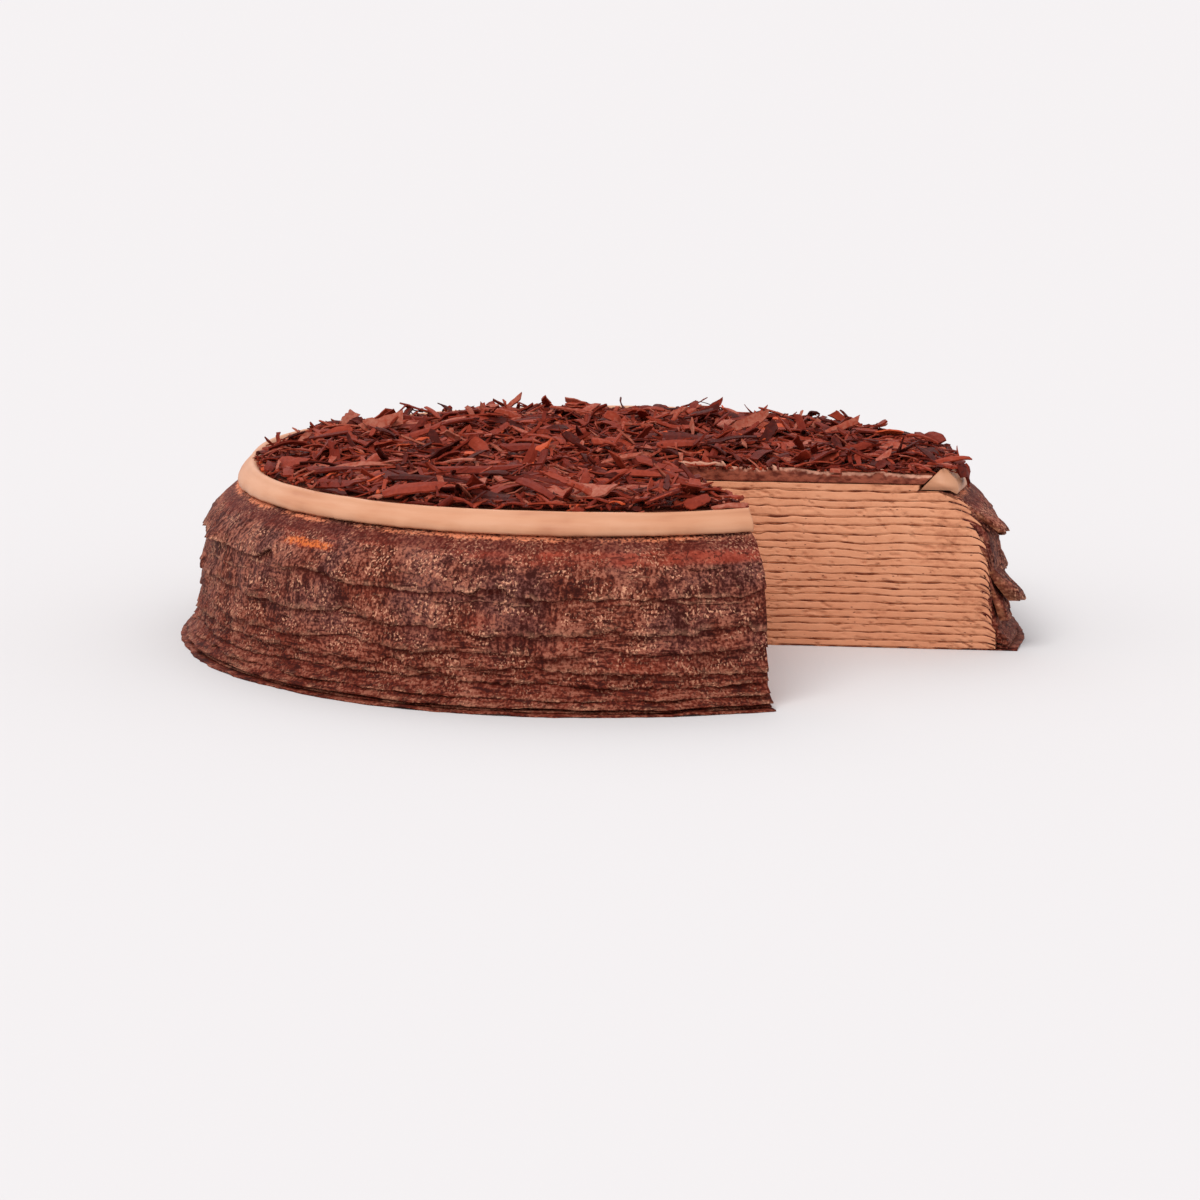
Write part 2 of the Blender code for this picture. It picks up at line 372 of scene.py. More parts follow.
class Paint(NodeGraph):
    """The shader tree of one material, with the patterns that the finishes share."""

    def __init__(self, name: str) -> None:
        """Starts a material with a Principled shader.

        Args:
            name: The material's name.
        """
        self.material = bpy.data.materials.new(name)
        self.material.use_nodes = True
        super().__init__(self.material.node_tree)
        self.surface = self.tree.nodes["Principled BSDF"]
        self.place = self.node("ShaderNodeTexCoord").outputs["Object"]

    def height(self) -> Value:
        """Gives the height above the cake's bottom."""
        return Value(self, self.node("ShaderNodeSeparateXYZ", {0: self.place}).outputs["Z"])

    def stretched(self, scale: Triple) -> Socket:
        """Gives the object's coordinates, each multiplied by its part of the scale."""
        return self.node("ShaderNodeMapping", {"Vector": self.place, "Scale": scale}).outputs["Vector"]

    def noise(
        self, size: float, detail: float = 2.0, vector: Socket | None = None, distortion: float = 0.0
    ) -> Value:
        """Gives a noise pattern.

        Args:
            size: The size of its patches, in millimetres.
            detail: How many finer layers it has.
            vector: The coordinates, or None for the object's own.
            distortion: How much it swirls.

        Returns:
            Values of about 0.3 to 0.7.
        """
        sockets = {"Vector": vector or self.place, "Scale": 1.0 / (size * MM), "Detail": detail}
        sockets["Distortion"] = distortion
        return Value(self, self.node("ShaderNodeTexNoise", sockets).outputs["Fac"])

    def dots(self, size: float, vector: Socket) -> Value:
        """Gives the distance to the nearest of many scattered dots, 0 at each, in cells of a size in mm."""
        made = self.node("ShaderNodeTexVoronoi", {"Vector": vector, "Scale": 1.0 / (size * MM)})
        return Value(self, made.outputs["Distance"])

    def stored(self, name: str) -> Value:
        """Gives a value stored on the piece's points."""
        return Value(self, self.node("ShaderNodeAttribute", attribute_name=name).outputs["Fac"])

    def mix(self, factor: Value | float, first: Any, second: Any) -> Socket:
        """Blends two colours or colour sockets by the share of the second."""
        return self.node("ShaderNodeMix", {0: factor, 6: first, 7: second}, data_type="RGBA").outputs[2]

    def ramp(self, value: Value, *stops: tuple[float, Color]) -> Socket:
        """Turns a value into a colour, by pairs of a value and its colour."""
        return self.node("ShaderNodeValToRGB", {0: value}, stops=stops).outputs[0]

    def bump(self, height: Value, distance: float, strength: float = 1.0) -> None:
        """Gives the surface a relief, where a value of 1 stands out by the distance."""
        sockets = {"Height": height, "Distance": distance, "Strength": strength}
        self.connect(self.node("ShaderNodeBump", sockets).outputs["Normal"], self.surface.inputs["Normal"])

    def dress(self, **sockets: Any) -> Material:
        """Sets the shader's sockets, each named with _ for a space.

        Args:
            **sockets: A value or a link for each socket.

        Returns:
            The finished material.
        """
        for name, value in sockets.items():
            self.connect(value, self.surface.inputs[name.replace("_", " ")])
        return self.material


@dataclass(frozen=True)
class BrownedCrepe:
    """A thin crepe browned in the pan: mottled red-brown, greyish in places, with fine pale grains."""

    dark: Color = shade(0.215, 0.055, 0.03)
    brown: Color = shade(0.40, 0.165, 0.105)
    dusty: Color = shade(0.60, 0.36, 0.285)
    pale: Color = shade(0.83, 0.595, 0.475)
    honey: Color = shade(0.84, 0.50, 0.36)
    grey: Color = shade(0.385, 0.235, 0.215)
    russet: Color = shade(0.405, 0.14, 0.075)
    # Painted shade under the hems above, and the dark band under the ring and towards the bottom.
    char: Color = shade(0.345, 0.09, 0.045)
    glow: Color = shade(0.60, 0.225, 0.15)
    orange: Color = shade(0.83, 0.43, 0.21)
    edge_dark: Color = shade(0.40, 0.185, 0.115)
    edge_brown: Color = shade(0.56, 0.315, 0.205)
    edge_pale: Color = shade(0.74, 0.49, 0.355)

    def material(self) -> Material:
        """Builds the material.

        Returns:
            The material.
        """
        paint = Paint("browned_crepe")
        height = paint.height()
        patches = paint.noise(12.0, 2.0, None, 0.6)
        strokes = paint.noise(1.5, 3.0, paint.stretched((1.0, 1.0, 0.26)), 0.7)
        grain = paint.noise(0.8)
        wrinkles = paint.noise(1.0, 3.0, paint.stretched((0.15, 0.15, 1.0)), 1.0)
        upright = (paint.noise(14.0) + height * 8.0).step(0.56, 0.76)
        streaks = strokes * upright + wrinkles * (1.0 - upright)
        tone = streaks * 0.42 + patches * 0.20 + grain * 0.38
        stops = ((0.425, self.dark), (0.50, self.brown), (0.58, self.dusty))
        color = paint.ramp(tone, *stops)
        greyish = paint.noise(22.0, 3.0).step(0.42, 0.60) * height.step(6.0 * MM, 20.0 * MM)
        color = paint.mix(greyish * 0.75, color, paint.ramp(tone, stops[0], (0.50, self.grey), stops[2]))
        low = height.step(24.0 * MM, 8.0 * MM) * 0.6
        color = paint.mix(low, color, paint.ramp(tone, stops[0], (0.50, self.russet), (0.60, self.dusty)))
        color = paint.mix(paint.stored("glow") * (tone * 1.3), color, self.glow)
        # Painted shade under the hems of the tiers above, with a dark band under the ring and darker towards
        # the bottom.
        color = paint.mix(paint.stored("char") * (1.25 - grain), color, self.char)
        rim = paint.stored("rim")
        color = paint.mix((rim + grain * 2.4 - 1.2).step(0.20, 0.95) * rim * 1.4, color, self.honey)
        ember = paint.stored("ember")
        color = paint.mix((ember + grain * 1.8 - 0.9).step(0.20, 0.75) * ember * 1.5, color, self.orange)
        specks = paint.noise(0.60, 1.0, paint.stretched((1.0, 1.0, 0.7))).step(0.55, 0.67)
        clusters = paint.noise(7.0, 3.0, paint.stretched((1.0, 1.0, 1.5)))
        clusters = clusters.step(0.46, 0.61) * (height.step(2.0 * MM, 18.0 * MM) * 0.52 + 0.36)
        clusters = clusters * (1.0 - paint.stored("char") * 0.6) * (1.0 - paint.stored("glow") * 0.5)
        color = paint.mix(specks * clusters, color, self.pale)
        lip = paint.stored("lip") * paint.noise(5.0, 3.0).step(0.46, 0.60)
        color = paint.mix(lip * (specks * 0.5 + 0.25), color, self.pale)
        pores = paint.noise(0.9, 1.0).step(0.42, 0.34)
        color = paint.mix(pores * 0.7, color, self.dark)
        # Painted shade in the creases: the hollows of the wrinkles, which the bump also sinks, are darkened.
        color = paint.mix(wrinkles.step(0.40, 0.34) * (0.85 - upright * 0.4), color, self.dark)
        lines = paint.noise(3.2, 3.0, paint.stretched((1.0, 1.0, 2.5)))
        edge = paint.ramp(lines, (0.36, self.edge_dark), (0.47, self.edge_brown), (0.60, self.edge_pale))
        cut = paint.stored("cut")
        color = paint.mix(cut, color, edge)
        paint.bump((streaks * 0.55 + grain * 0.45) * (1.0 - cut * 0.85), 0.55 * MM, 0.85)
        return paint.dress(Base_Color=color, Roughness=0.75, Specular_IOR_Level=0.12)


@dataclass(frozen=True)
class ChocolateCream:
    """Pale chocolate cream, cut with a knife: tan, slightly dragged, with darker smears, small holes painted
    dark as shade, and painted shade towards the bottom.
    """

    light: Color = shade(0.87, 0.615, 0.47)
    middle: Color = shade(0.84, 0.575, 0.43)
    # Darker smears, and the painted shade towards the bottom.
    smear_and_shade: Color = shade(0.74, 0.475, 0.345)
    # Painted shade in the small holes.
    hole_shade: Color = shade(0.45, 0.20, 0.12)

    def material(self) -> Material:
        """Builds the material.

        Returns:
            The material.
        """
        paint = Paint("chocolate_cream")
        level = paint.stretched((1.0, 1.0, 2.2))
        height = paint.height()
        cloudy = paint.noise(18.0)
        drag = paint.noise(2.8, 3.0, level)
        fine = paint.noise(0.6, 3.0)
        tone = cloudy * 0.5 + drag * 0.4 + fine * 0.1
        color = paint.ramp(tone, (0.36, self.smear_and_shade), (0.45, self.middle), (0.60, self.light))
        # Painted shade: the cut cream is darker towards the bottom.
        color = paint.mix(height.step(36.0 * MM, 8.0 * MM) * 0.4, color, self.smear_and_shade)
        holes = paint.dots(2.6, level).step(0.18, 0.07) * paint.noise(6.0).step(0.50, 0.56)
        # Painted shade in the small holes, which the bump also sinks.
        color = paint.mix(holes * 0.8, color, self.hole_shade)
        paint.bump(drag * 0.5 + fine * 0.5 - holes * 0.8, 0.25 * MM, 0.6)
        return paint.dress(Base_Color=color, Roughness=0.6, Specular_IOR_Level=0.25)


@dataclass(frozen=True)
class PipedCream:
    """The smooth cream of the ring, drawn flat with a scraper."""

    light: Color = shade(0.80, 0.585, 0.455)
    middle: Color = shade(0.775, 0.545, 0.41)
    tan: Color = shade(0.715, 0.475, 0.352)

    def material(self) -> Material:
        """Builds the material.

        Returns:
            The material.
        """
        paint = Paint("piped_cream")
        drawn = paint.stretched((0.35, 0.35, 3.0))
        tone = paint.noise(22.0) * 0.7 + paint.noise(4.0, 2.0, drawn) * 0.3
        color = paint.ramp(tone, (0.34, self.tan), (0.48, self.middle), (0.62, self.light))
        paint.bump(paint.noise(2.2, 3.0, drawn), 0.12 * MM, 0.4)
        return paint.dress(Base_Color=color, Roughness=0.5, Specular_IOR_Level=0.3)


@dataclass(frozen=True)
class GanacheGlaze:
    """The soft ganache under the shavings, brown at the cut with a pale upper edge: partly a pale smear,
    partly painted highlight.
    """

    dark: Color = shade(0.38, 0.15, 0.095)
    brown: Color = shade(0.60, 0.32, 0.235)
    # The pale upper edge: partly a smear, partly painted highlight where the top catches the light.
    pale: Color = shade(0.86, 0.63, 0.53)

    def material(self) -> Material:
        """Builds the material.

        Returns:
            The material.
        """
        paint = Paint("ganache")
        smears = paint.noise(2.4, 4.0, paint.stretched((1.0, 1.0, 1.8)))
        color = paint.ramp(smears, (0.36, self.dark), (0.58, self.brown))
        # Painted highlight along the upper edge, where the top catches the light, broken up like a pale
        # smear.
        rim = (paint.stored("rim") + paint.noise(1.5) * 0.6 - 0.3).step(0.66, 0.90)
        color = paint.mix(rim * 0.85, color, self.pale)
        paint.bump(smears, 0.4 * MM, 0.7)
        return paint.dress(Base_Color=color, Roughness=0.65, Specular_IOR_Level=0.2)


@dataclass(frozen=True)
class DarkChocolate:
    """Shaved dark chocolate: matt scraped faces with fine scratches, each shaving of its own tone."""

    bitter: Color = shade(0.25, 0.06, 0.032)
    dark: Color = shade(0.43, 0.125, 0.068)
    milky: Color = shade(0.57, 0.215, 0.135)
    bloomed: Color = shade(0.66, 0.40, 0.325)
    orange: Color = shade(0.76, 0.28, 0.10)

    def material(self) -> Material:
        """Builds the material.

        Returns:
            The material.
        """
        paint = Paint("chocolate_shavings")
        tint = paint.stored("tint")
        scratches = paint.noise(1.1, 4.0, paint.stretched((1.0, 0.4, 1.0)), 0.5)
        tone = tint * 0.9 + scratches * 0.5 - 0.2
        color = paint.ramp(
            tone, (0.06, self.bitter), (0.40, self.dark), (0.76, self.milky), (1.0, self.bloomed)
        )
        color = paint.mix(tint.step(0.965, 0.975) * 0.75, color, self.orange)
        paint.bump(scratches, 0.3 * MM, 0.6)
        return paint.dress(Base_Color=color, Roughness=0.66, Specular_IOR_Level=0.1)


@dataclass(frozen=True)
class PaleFloor:
    """A plain pale studio floor."""

    color: Color = shade(0.83, 0.825, 0.828)

    def material(self) -> Material:
        """Builds the material."""
        return Paint("pale_floor").dress(Base_Color=self.color, Roughness=1.0, Specular_IOR_Level=0.0)


def hand_over(piece: Object, material: Material, node: str | None = None) -> None:
    """Gives a piece its material, its body and the node that it stands for.

    Args:
        piece: The finished piece.
        material: Its material.
        node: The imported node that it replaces, if any.
    """
    piece.data.materials.clear()
    piece.data.materials.append(material)
    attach(piece, BODY)
    if node is not None:
        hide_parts(node)
    LOG.info("%s: %d faces", piece.name, len(piece.data.polygons))


@dataclass(frozen=True)
class Wedge:
    """The missing wedge. Directions are counter-clockwise from +X, round the wedge's point."""

    apex_x: float = 16.0 * MM
    apex_y: float = -22.5 * MM
    far_side: float = math.radians(-7.5)
    near_side: float = math.radians(287.5)
    strip: float = 1.0 * MM

    def ways(self, count: int) -> Array:
        """Gives directions from the far cut round the cake to the near cut."""
        return np.linspace(self.far_side, self.near_side, count)

    def reach(self, way: Numbers, radius: Numbers) -> Array:
        """Gives how far it is from the wedge's point to a circle round the cake's middle."""
        toward = self.apex_x * np.cos(way) + self.apex_y * np.sin(way)
        return np.sqrt(toward**2 - self.apex_x**2 - self.apex_y**2 + np.square(radius)) - toward

    def flat(self, way: Numbers, distance: Numbers) -> tuple[Numbers, Numbers]:
        """Gives the x and the y of places from directions and distances from the wedge's point."""
        return self.apex_x + distance * np.cos(way), self.apex_y + distance * np.sin(way)

    def place(self, way: Numbers, distance: Numbers, height: Numbers) -> Array:
        """Gives places from directions, distances and heights, with x, y and z along the last axis."""
        return np.stack(np.broadcast_arrays(*self.flat(way, distance), height), axis=-1)

    def angles(self, way: Array, radius: Numbers) -> Array:
        """Gives the angle round the cake's middle at which directions meet a circle round it."""
        return side_angle(*self.flat(way, self.reach(way, radius)))

    def outward(self, way: float) -> Array:
        """Gives the direction in which the cut that runs along a way faces, as a vector of length 1."""
        sign = 1.0 if way == self.far_side else -1.0
        return sign * np.array([math.sin(way), -math.cos(way), 0.0])

    def inside(self, x: Array, y: Array) -> Array:
        """Gives how far places are inside the cake from its cuts, negative in the wedge.

        Args:
            x: The places' x.
            y: The places' y.

        Returns:
            The distances.
        """
        dx, dy = x - self.apex_x, y - self.apex_y
        from_far = math.cos(self.far_side) * dy - math.sin(self.far_side) * dx
        from_near = math.sin(self.near_side) * dx - math.cos(self.near_side) * dy
        return np.maximum(from_far, from_near)

    def inset(self, back: float) -> Wedge:
        """Gives the wedge whose cuts lie further back in the cake.

        Args:
            back: How much further.

        Returns:
            The wider wedge.
        """
        middle = (self.far_side + self.near_side) / 2
        shift = -back / math.sin((self.near_side - self.far_side) / 2)
        return Wedge(self.apex_x - shift * math.cos(middle), self.apex_y - shift * math.sin(middle))

    def sheet(self, form: Form, edges: tuple[Arrays, ...], rim: Array, height: float, upward: bool) -> None:
        """Adds a layer's flat surface: a strip along each cut that takes up its waves, and a level middle.

        Args:
            form: The piece that takes the points.
            edges: Point numbers and places along the far and the near cut, from the wedge's point outwards.
            rim: Point numbers round the outer end of the surface, from the far cut to the near one.
            height: The height of the level middle.
            upward: Whether the surface faces up.
        """
        inset = self.inset(self.strip)
        lines = []
        for way, (_, places) in zip(self.ways(2), edges):
            level = places - self.strip * self.outward(way)
            level[0] = inset.place(0.0, 0.0, height)
            level[:, 2] = height
            lines.append(form.add_points(level))
        lines[1][0] = lines[0][0]
        for number, end in enumerate((rim[:2], rim[:-3:-1])):
            rows = np.stack([np.append(edges[number][0], end[0]), np.append(lines[number], end[1])])
            form.add_grid(rows, flip=upward == (number == 0))
        loop = join([lines[0], rim[1:-1], lines[1][:0:-1]])
        form.add_polygon(loop if upward else loop[::-1])


def side_angle(x: Array, y: Array) -> Array:
    """Gives the angle round the cake's middle, counted on from the wedge with no jump in the cake."""
    wedge_middle = math.radians(-43.0)
    return np.mod(np.arctan2(y, x) - wedge_middle, 2.0 * math.pi) + wedge_middle


@dataclass
class Stack:
    """The layers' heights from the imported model, and the outline of the cake's side."""

    core_radius: float = 116.3 * MM
    core_lean: float = 0.085
    shoulder_start: float = 30.0 * MM
    shoulder_inset: float = 8.0 * MM
    skirt_step: float = 0.33 * MM
    skirt_lean: float = 0.3
    shoulder_crepes: int = 6
    shoulder_bend: Pair = (3.8 * MM, 0.42)
    lower_bend: Pair = (2.0 * MM, 0.35)
    flare_height: float = 10.0 * MM
    flare: float = 6.3 * MM
    levels: Array = field(init=False)

    def __post_init__(self) -> None:
        """Reads each crepe's middle height from the frame."""
        tops = [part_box(f"crepe_{index:02d}")[1].z for index in range(CREPES)]
        self.levels = np.array(tops) - CREPE_THICKNESS / 2

    def height_at(self, level: Array) -> Array:
        """Gives the height of levels counted in crepes."""
        return np.interp(level, np.arange(CREPES), self.levels)

    def level_at(self, height: Array) -> Array:
        """Gives the level, counted in crepes, at heights."""
        return np.interp(height, self.levels, np.arange(CREPES))

    def up_shoulder(self, height: Array) -> Array:
        """Gives how far up the shoulder heights are: 0 at its foot and below, 1 at the highest crepe."""
        return np.clip((height - self.shoulder_start) / (self.levels[-1] - self.shoulder_start), 0.0, None)

    def core(self, height: Array) -> Array:
        """Gives the radius of the cream at heights."""
        inset = self.shoulder_inset * self.up_shoulder(height) ** 2
        return self.core_radius - self.core_lean * height - inset

    def skirt(self, index: int, drop: Array) -> Arrays:
        """Gives the middle of a crepe where its skirt hangs.

        Args:
            index: Which crepe, from 0 at the bottom.
            drop: How many layers below the crepe's own level.

        Returns:
            The radius and the height.
        """
        height = self.height_at(index - drop)
        shoulder = self.levels[-1] - self.shoulder_start
        lean = self.skirt_lean + 2.0 * self.shoulder_inset * self.up_shoulder(height) / shoulder
        spread = np.hypot(1.0, lean)
        bend, softness = self.shoulder_bend if index >= CREPES - self.shoulder_crepes else self.lower_bend
        flare = self.flare * np.clip(1.0 - height / self.flare_height, 0.0, None) ** 2
        radius = self.core(height) + self.skirt_step * drop * spread - bend * np.exp(-drop / softness)
        return radius + flare * np.clip(drop, 0.0, 1.0), height


def both_sides(radius: Array, height: Array, half: Numbers) -> Arrays:
    """Gives the outer and inner sides of a sheet whose middle runs down the rows.

    Args:
        radius: The middle's radius, in rows from the top.
        height: The middle's height.
        half: Half the thickness.

    Returns:
        The outer radius and height, then the inner radius and height.
    """
    along_r = np.gradient(radius, axis=0)
    along_z = np.gradient(height, axis=0)
    length = np.hypot(along_r, along_z) + 1e-12
    out_r, out_z = -along_z / length * half, along_r / length * half
    return radius + out_r, height + out_z, radius - out_r, height - out_z


@dataclass
class CutFaces:
    """How the knife left the two cut faces, shared by every layer so that they stay in line."""

    noise: Noise
    stack: Stack
    gap: float = 0.02 * MM
    wave_height: float = 0.55 * MM
    ripple_height: float = 1.25 * MM
    crepe_half: float = 0.17 * MM
    edge_half: float = 0.15 * MM
    broad_relief: float = 0.22 * MM
    fine_relief: float = 0.10 * MM
    hole_depth: float = 0.45 * MM
    crack_depth: float = 0.7 * MM

    def from_bend(self, index: int, x: Array, y: Array) -> Array:
        """Gives how far places are from where a crepe bends down: 0 at the bend, 1 well inside."""
        start = float(self.stack.skirt(index, np.zeros(1))[0][0])
        return ease(start - 1.0 * MM, start - 12.0 * MM, np.hypot(x, y))

    def rest(self, index: int, x: Array, y: Array) -> Array:
        """Gives the height of a crepe's middle where it lies flat.

        Args:
            index: Which crepe.
            x: The places' x.
            y: The places' y.

        Returns:
            The heights.
        """
        level = self.stack.levels[index]
        if index == 0:
            return np.full(np.shape(x), level)
        share = index / (CREPES - 1)
        inner = ease(90.0 * MM, 25.0 * MM, np.hypot(x, y))
        wave = self.noise.over(17.0, 17.0, x, y, index * 0.45)
        ripple = self.noise.over(5.0, 5.0, x, y, index * 0.32)
        lift = self.wave_height * wave * (0.4 + share)
        lift = lift + self.ripple_height * ripple * (0.2 + 1.2 * share**2 * inner + 0.1 * share)
        free = min(1.0, index / 2, 0.4 + 0.25 * (CREPES - 1 - index))
        return level + lift * self.from_bend(index, x, y) * free

    def half(self, index: int, x: Array, y: Array) -> Array:
        """Gives half a crepe's thickness where it lies flat: uneven, so that its line breaks up.

        Args:
            index: Which crepe.
            x: The places' x.
            y: The places' y.

        Returns:
            The half thicknesses.
        """
        thick = self.noise.over(4.5, 4.5, x, y, index * 3.1, 3)
        uneven = self.crepe_half * np.clip(1.0 + 1.8 * thick, 0.12, 1.9)
        return self.edge_half + (uneven - self.edge_half) * self.from_bend(index, x, y)

    def relief(self, distance: Array, height: Array, side: float) -> Array:
        """Gives how far a cut face stands out from its plane.

        Args:
            distance: Distances from the wedge's point.
            height: The heights.
            side: A number that differs between the two faces.

        Returns:
            The distances out of the plane.
        """
        broad = self.noise.over(15.0, 6.0, distance, height, side, 3)
        fine = self.noise.over(2.4, 1.0, distance, height, side + 5.5, 3)
        return ease(0.0, 3.0 * MM, distance) * (self.broad_relief * broad + self.fine_relief * fine)

    def wounds(self, distance: Array, height: Array, side: float) -> Array:
        """Gives how deep small holes and drag cracks are in the cream of a cut face.

        Args:
            distance: Distances from the wedge's point.
            height: The heights.
            side: A number that differs between the two faces.

        Returns:
            The depths.
        """
        holes = ease(0.56, 0.72, self.noise.smooth(distance / (1.9 * MM), height / (0.9 * MM), side + 9.1))
        slanted = (distance + 1.7 * height) / (1.3 * MM)
        cracks = ease(0.30, 0.60, self.noise.smooth(slanted, (distance - height) / (5.0 * MM), side + 3.3))
        outer = ease(80.0 * MM, 90.0 * MM, distance) * ease(30.0 * MM, 16.0 * MM, height)
        return ease(0.0, 3.0 * MM, distance) * (self.hole_depth * holes + self.crack_depth * cracks * outer)


class CutFace(Enum):
    """The two faces of the cut, each with its column in a fan of directions and its own noise."""

    FAR = (0, 2.0)
    NEAR = (-1, 41.0)

    def __init__(self, column: int, side: float) -> None:
        """Keeps the column that lies on this face, and the number that sets its noise apart."""
        self.column = column
        self.side = side


@dataclass
class CrepeStack:
    """The crepes: a flat sheet each, whose edge hangs down the side as a crinkled skirt."""

    wedge: Wedge
    stack: Stack
    cuts: CutFaces
    noise: Noise
    material: Material
    half: float = 0.15 * MM
    flat_samples: int = 150
    short_drop: float = 2.2
    lowest_hem: float = 1.0 * MM
    foot_radius: float = 123.2 * MM
    hems: dict[int, float] = field(
        default_factory=lambda: {
            20: 30.0 * MM, 17: 21.2 * MM, 14: 14.8 * MM, 11: 10.6 * MM, 8: 6.9 * MM, 5: 3.8 * MM, 2: 1.6 * MM
        }
    )
    far_end: float = math.radians(-17.5)
    tear_angle: float = math.radians(220.5)
    flaps: dict[int, float] = field(default_factory=lambda: {20: 3.0 * MM, 14: 6.0 * MM, 11: 2.5 * MM})
    flap_spread: float = math.radians(13.0)
    sunk: float = 0.09 * MM
    proud: float = 0.04 * MM
    end_ragged: float = 0.35 * MM
    bottom_start: float = 108.0 * MM
    bottom_half: float = 0.22 * MM
    ember_angle: float = math.radians(226.2)
    ember_height: float = 38.6 * MM

    def grid_size(self, index: int) -> tuple[int, int]:
        """Gives how many columns and rows a skirt has: more where more of it shows."""
        if index == CREPES - 1:
            return 1400, 46
        return (1400, 22) if index in self.hems else (320, 7)

    def hem_height(self, index: int, angle: Array) -> Array:
        """Gives the height of a skirt's torn lower edge.

        Args:
            index: Which crepe.
            angle: Angles round the cake's middle.

        Returns:
            The heights.
        """
        along = angle * SIDE_RADIUS
        base = self.hems.get(index, float(self.stack.height_at(max(index - self.short_drop, 0.4))))
        slow = self.noise.layered(along / (44.0 * MM), index * 3.3, 1.5, 2) * 2.8 * MM
        middle = self.noise.layered(along / (9.0 * MM), index * 4.9, 5.5, 2) * 1.1 * MM
        fine = self.noise.layered(along / (1.6 * MM), index * 9.1, 2.5, 2) * 0.65 * MM
        bites = ease(0.30, 0.45, self.noise.smooth(along / (15.0 * MM), index * 5.7, 3.5)) * 1.6 * MM
        height = base + (slow + middle + fine + bites) * min(1.0, base / (8.0 * MM))
        if index == CREPES - 1:
            torn = ease(self.tear_angle - 0.9, self.tear_angle - 0.7, angle) * (angle < self.tear_angle)
            height = height + 3.2 * MM * torn + 4.5 * MM * ease(self.far_end + 0.2, self.far_end, angle)
        return np.clip(height, self.lowest_hem, self.stack.levels[index] - 1.5 * MM)

    def ruffle(self, angle: Array, height: Array, index: int) -> Array:
        """Gives how far the skirts stand in or out at a place, mostly the same for all of them.

        Args:
            angle: Angles round the cake's middle.
            height: The heights.
            index: Which crepe.

        Returns:
            The distances outwards.
        """
        along = angle * SIDE_RADIUS
        folds = self.noise.over(14.0, 20.0, along, height, 0.5)
        pleats = self.noise.ridged(along / (2.3 * MM), height / (9.0 * MM), 4.5)
        creases = self.noise.ridged(along / (11.0 * MM), height / (1.9 * MM), 7.5)
        crumple = self.noise.over(1.5, 1.5, along, height, 6.5 + index * 5.1)
        pleated = ease(-0.35, 0.25, self.noise.over(30.0, 16.0, along, height, 3.5))
        return (0.5 * folds + 0.40 * pleated * (pleats - 0.5) + 0.30 * (creases - 0.5) + 0.26 * crumple) * MM

    def flap(self, index: int, drop: Array, hem_drop: Array, angle: Array) -> Array:
        """Gives how far a loose flap stands out at the far cut's end, and the highest skirt at its tear.

        Args:
            index: Which crepe.
            drop: How many layers below the crepe's level.
            hem_drop: The drop of the hem.
            angle: Angles round the cake's middle.

        Returns:
            The distances outwards.
        """
        share = np.clip((drop - 1.0) / np.maximum(hem_drop - 1.0, 0.1), 0.0, 1.0)
        across = ease(self.far_end + self.flap_spread, self.far_end, angle)
        loose = self.flaps.get(index, 0.0) * ease(0.2, 0.85, share) * across
        if index == CREPES - 1:
            torn = ease(self.tear_angle - 1.3, self.tear_angle - 0.8, angle) * (angle < self.tear_angle)
            loose = loose + 1.2 * MM * share**2 * torn
        return loose

    def glow(self, index: int, angle: Array, height: Array) -> dict[str, Array]:
        """Gives, from 0 to 1, where a skirt shows rusty, orange or honey-coloured by the ring, and where it
        is darkened:
        painted shade under the hem of the tier above, a dark band under the ring, and darker towards the
        bottom.

        Args:
            index: Which crepe.
            angle: Angles round the cake's middle.
            height: The heights.

        Returns:
            The shares, by the name that the finish reads.
        """
        along = angle * SIDE_RADIUS
        if index != CREPES - 1:
            rusty = ease(0.2, 0.7, self.noise.over(18.0, 6.0, along, height, index * 2.7, 3))
            # Darker towards the bottom of the cake.
            char = 0.3 * ease(12.0 * MM, 3.0 * MM, height)
            # Painted shade: a dark strip just under the hem of the tier above.
            if index + 3 in self.hems:
                above = self.hem_height(index + 3, angle)
                char = np.maximum(char, 0.65 * ease(above - 1.8 * MM, above - 0.4 * MM, height))
            return {"glow": 0.35 * rusty, "char": char, "ember": 0.0, "rim": 0.0}
        uneven = self.noise.layered(along / (20.0 * MM), 0.5, 7.7, 2)
        ragged = self.noise.over(2.5, 1.2, along, height, 8.8)
        broken = self.noise.over(7.0, 1.5, along, height, 9.8)
        near = ease(math.radians(248.0), math.radians(266.0), angle)
        up = height + 0.5 * MM * ragged
        low = (39.3 - 2.2 * near - 1.0 * uneven) * MM
        band = ease(low, low + 1.8 * MM, up) * ease(41.8 * MM, 40.6 * MM, up)
        glow = band * np.clip(0.35 + 0.4 * near + 1.1 * broken, 0.0, 1.0)
        # A dark band a little under the ring.
        char = ease((40.2 + 0.8 * near) * MM, (41.2 + 0.6 * near) * MM, up) * ease(44.2 * MM, 43.1 * MM, up)
        rim = ease(42.8 * MM, 43.8 * MM, up) * np.clip(0.55 + 0.6 * uneven + 0.7 * broken, 0.05, 0.85)
        patch = ease(0.13, 0.06, np.abs(angle - self.ember_angle))
        patch = patch * ease(1.5 * MM, 0.5 * MM, np.abs(up - self.ember_height))
        return {
            "glow": np.maximum(glow, 0.8 * patch),
            "char": char * (0.75 + 0.25 * uneven) * (1.0 - patch),
            "ember": 0.6 * patch,
            "rim": rim,
        }

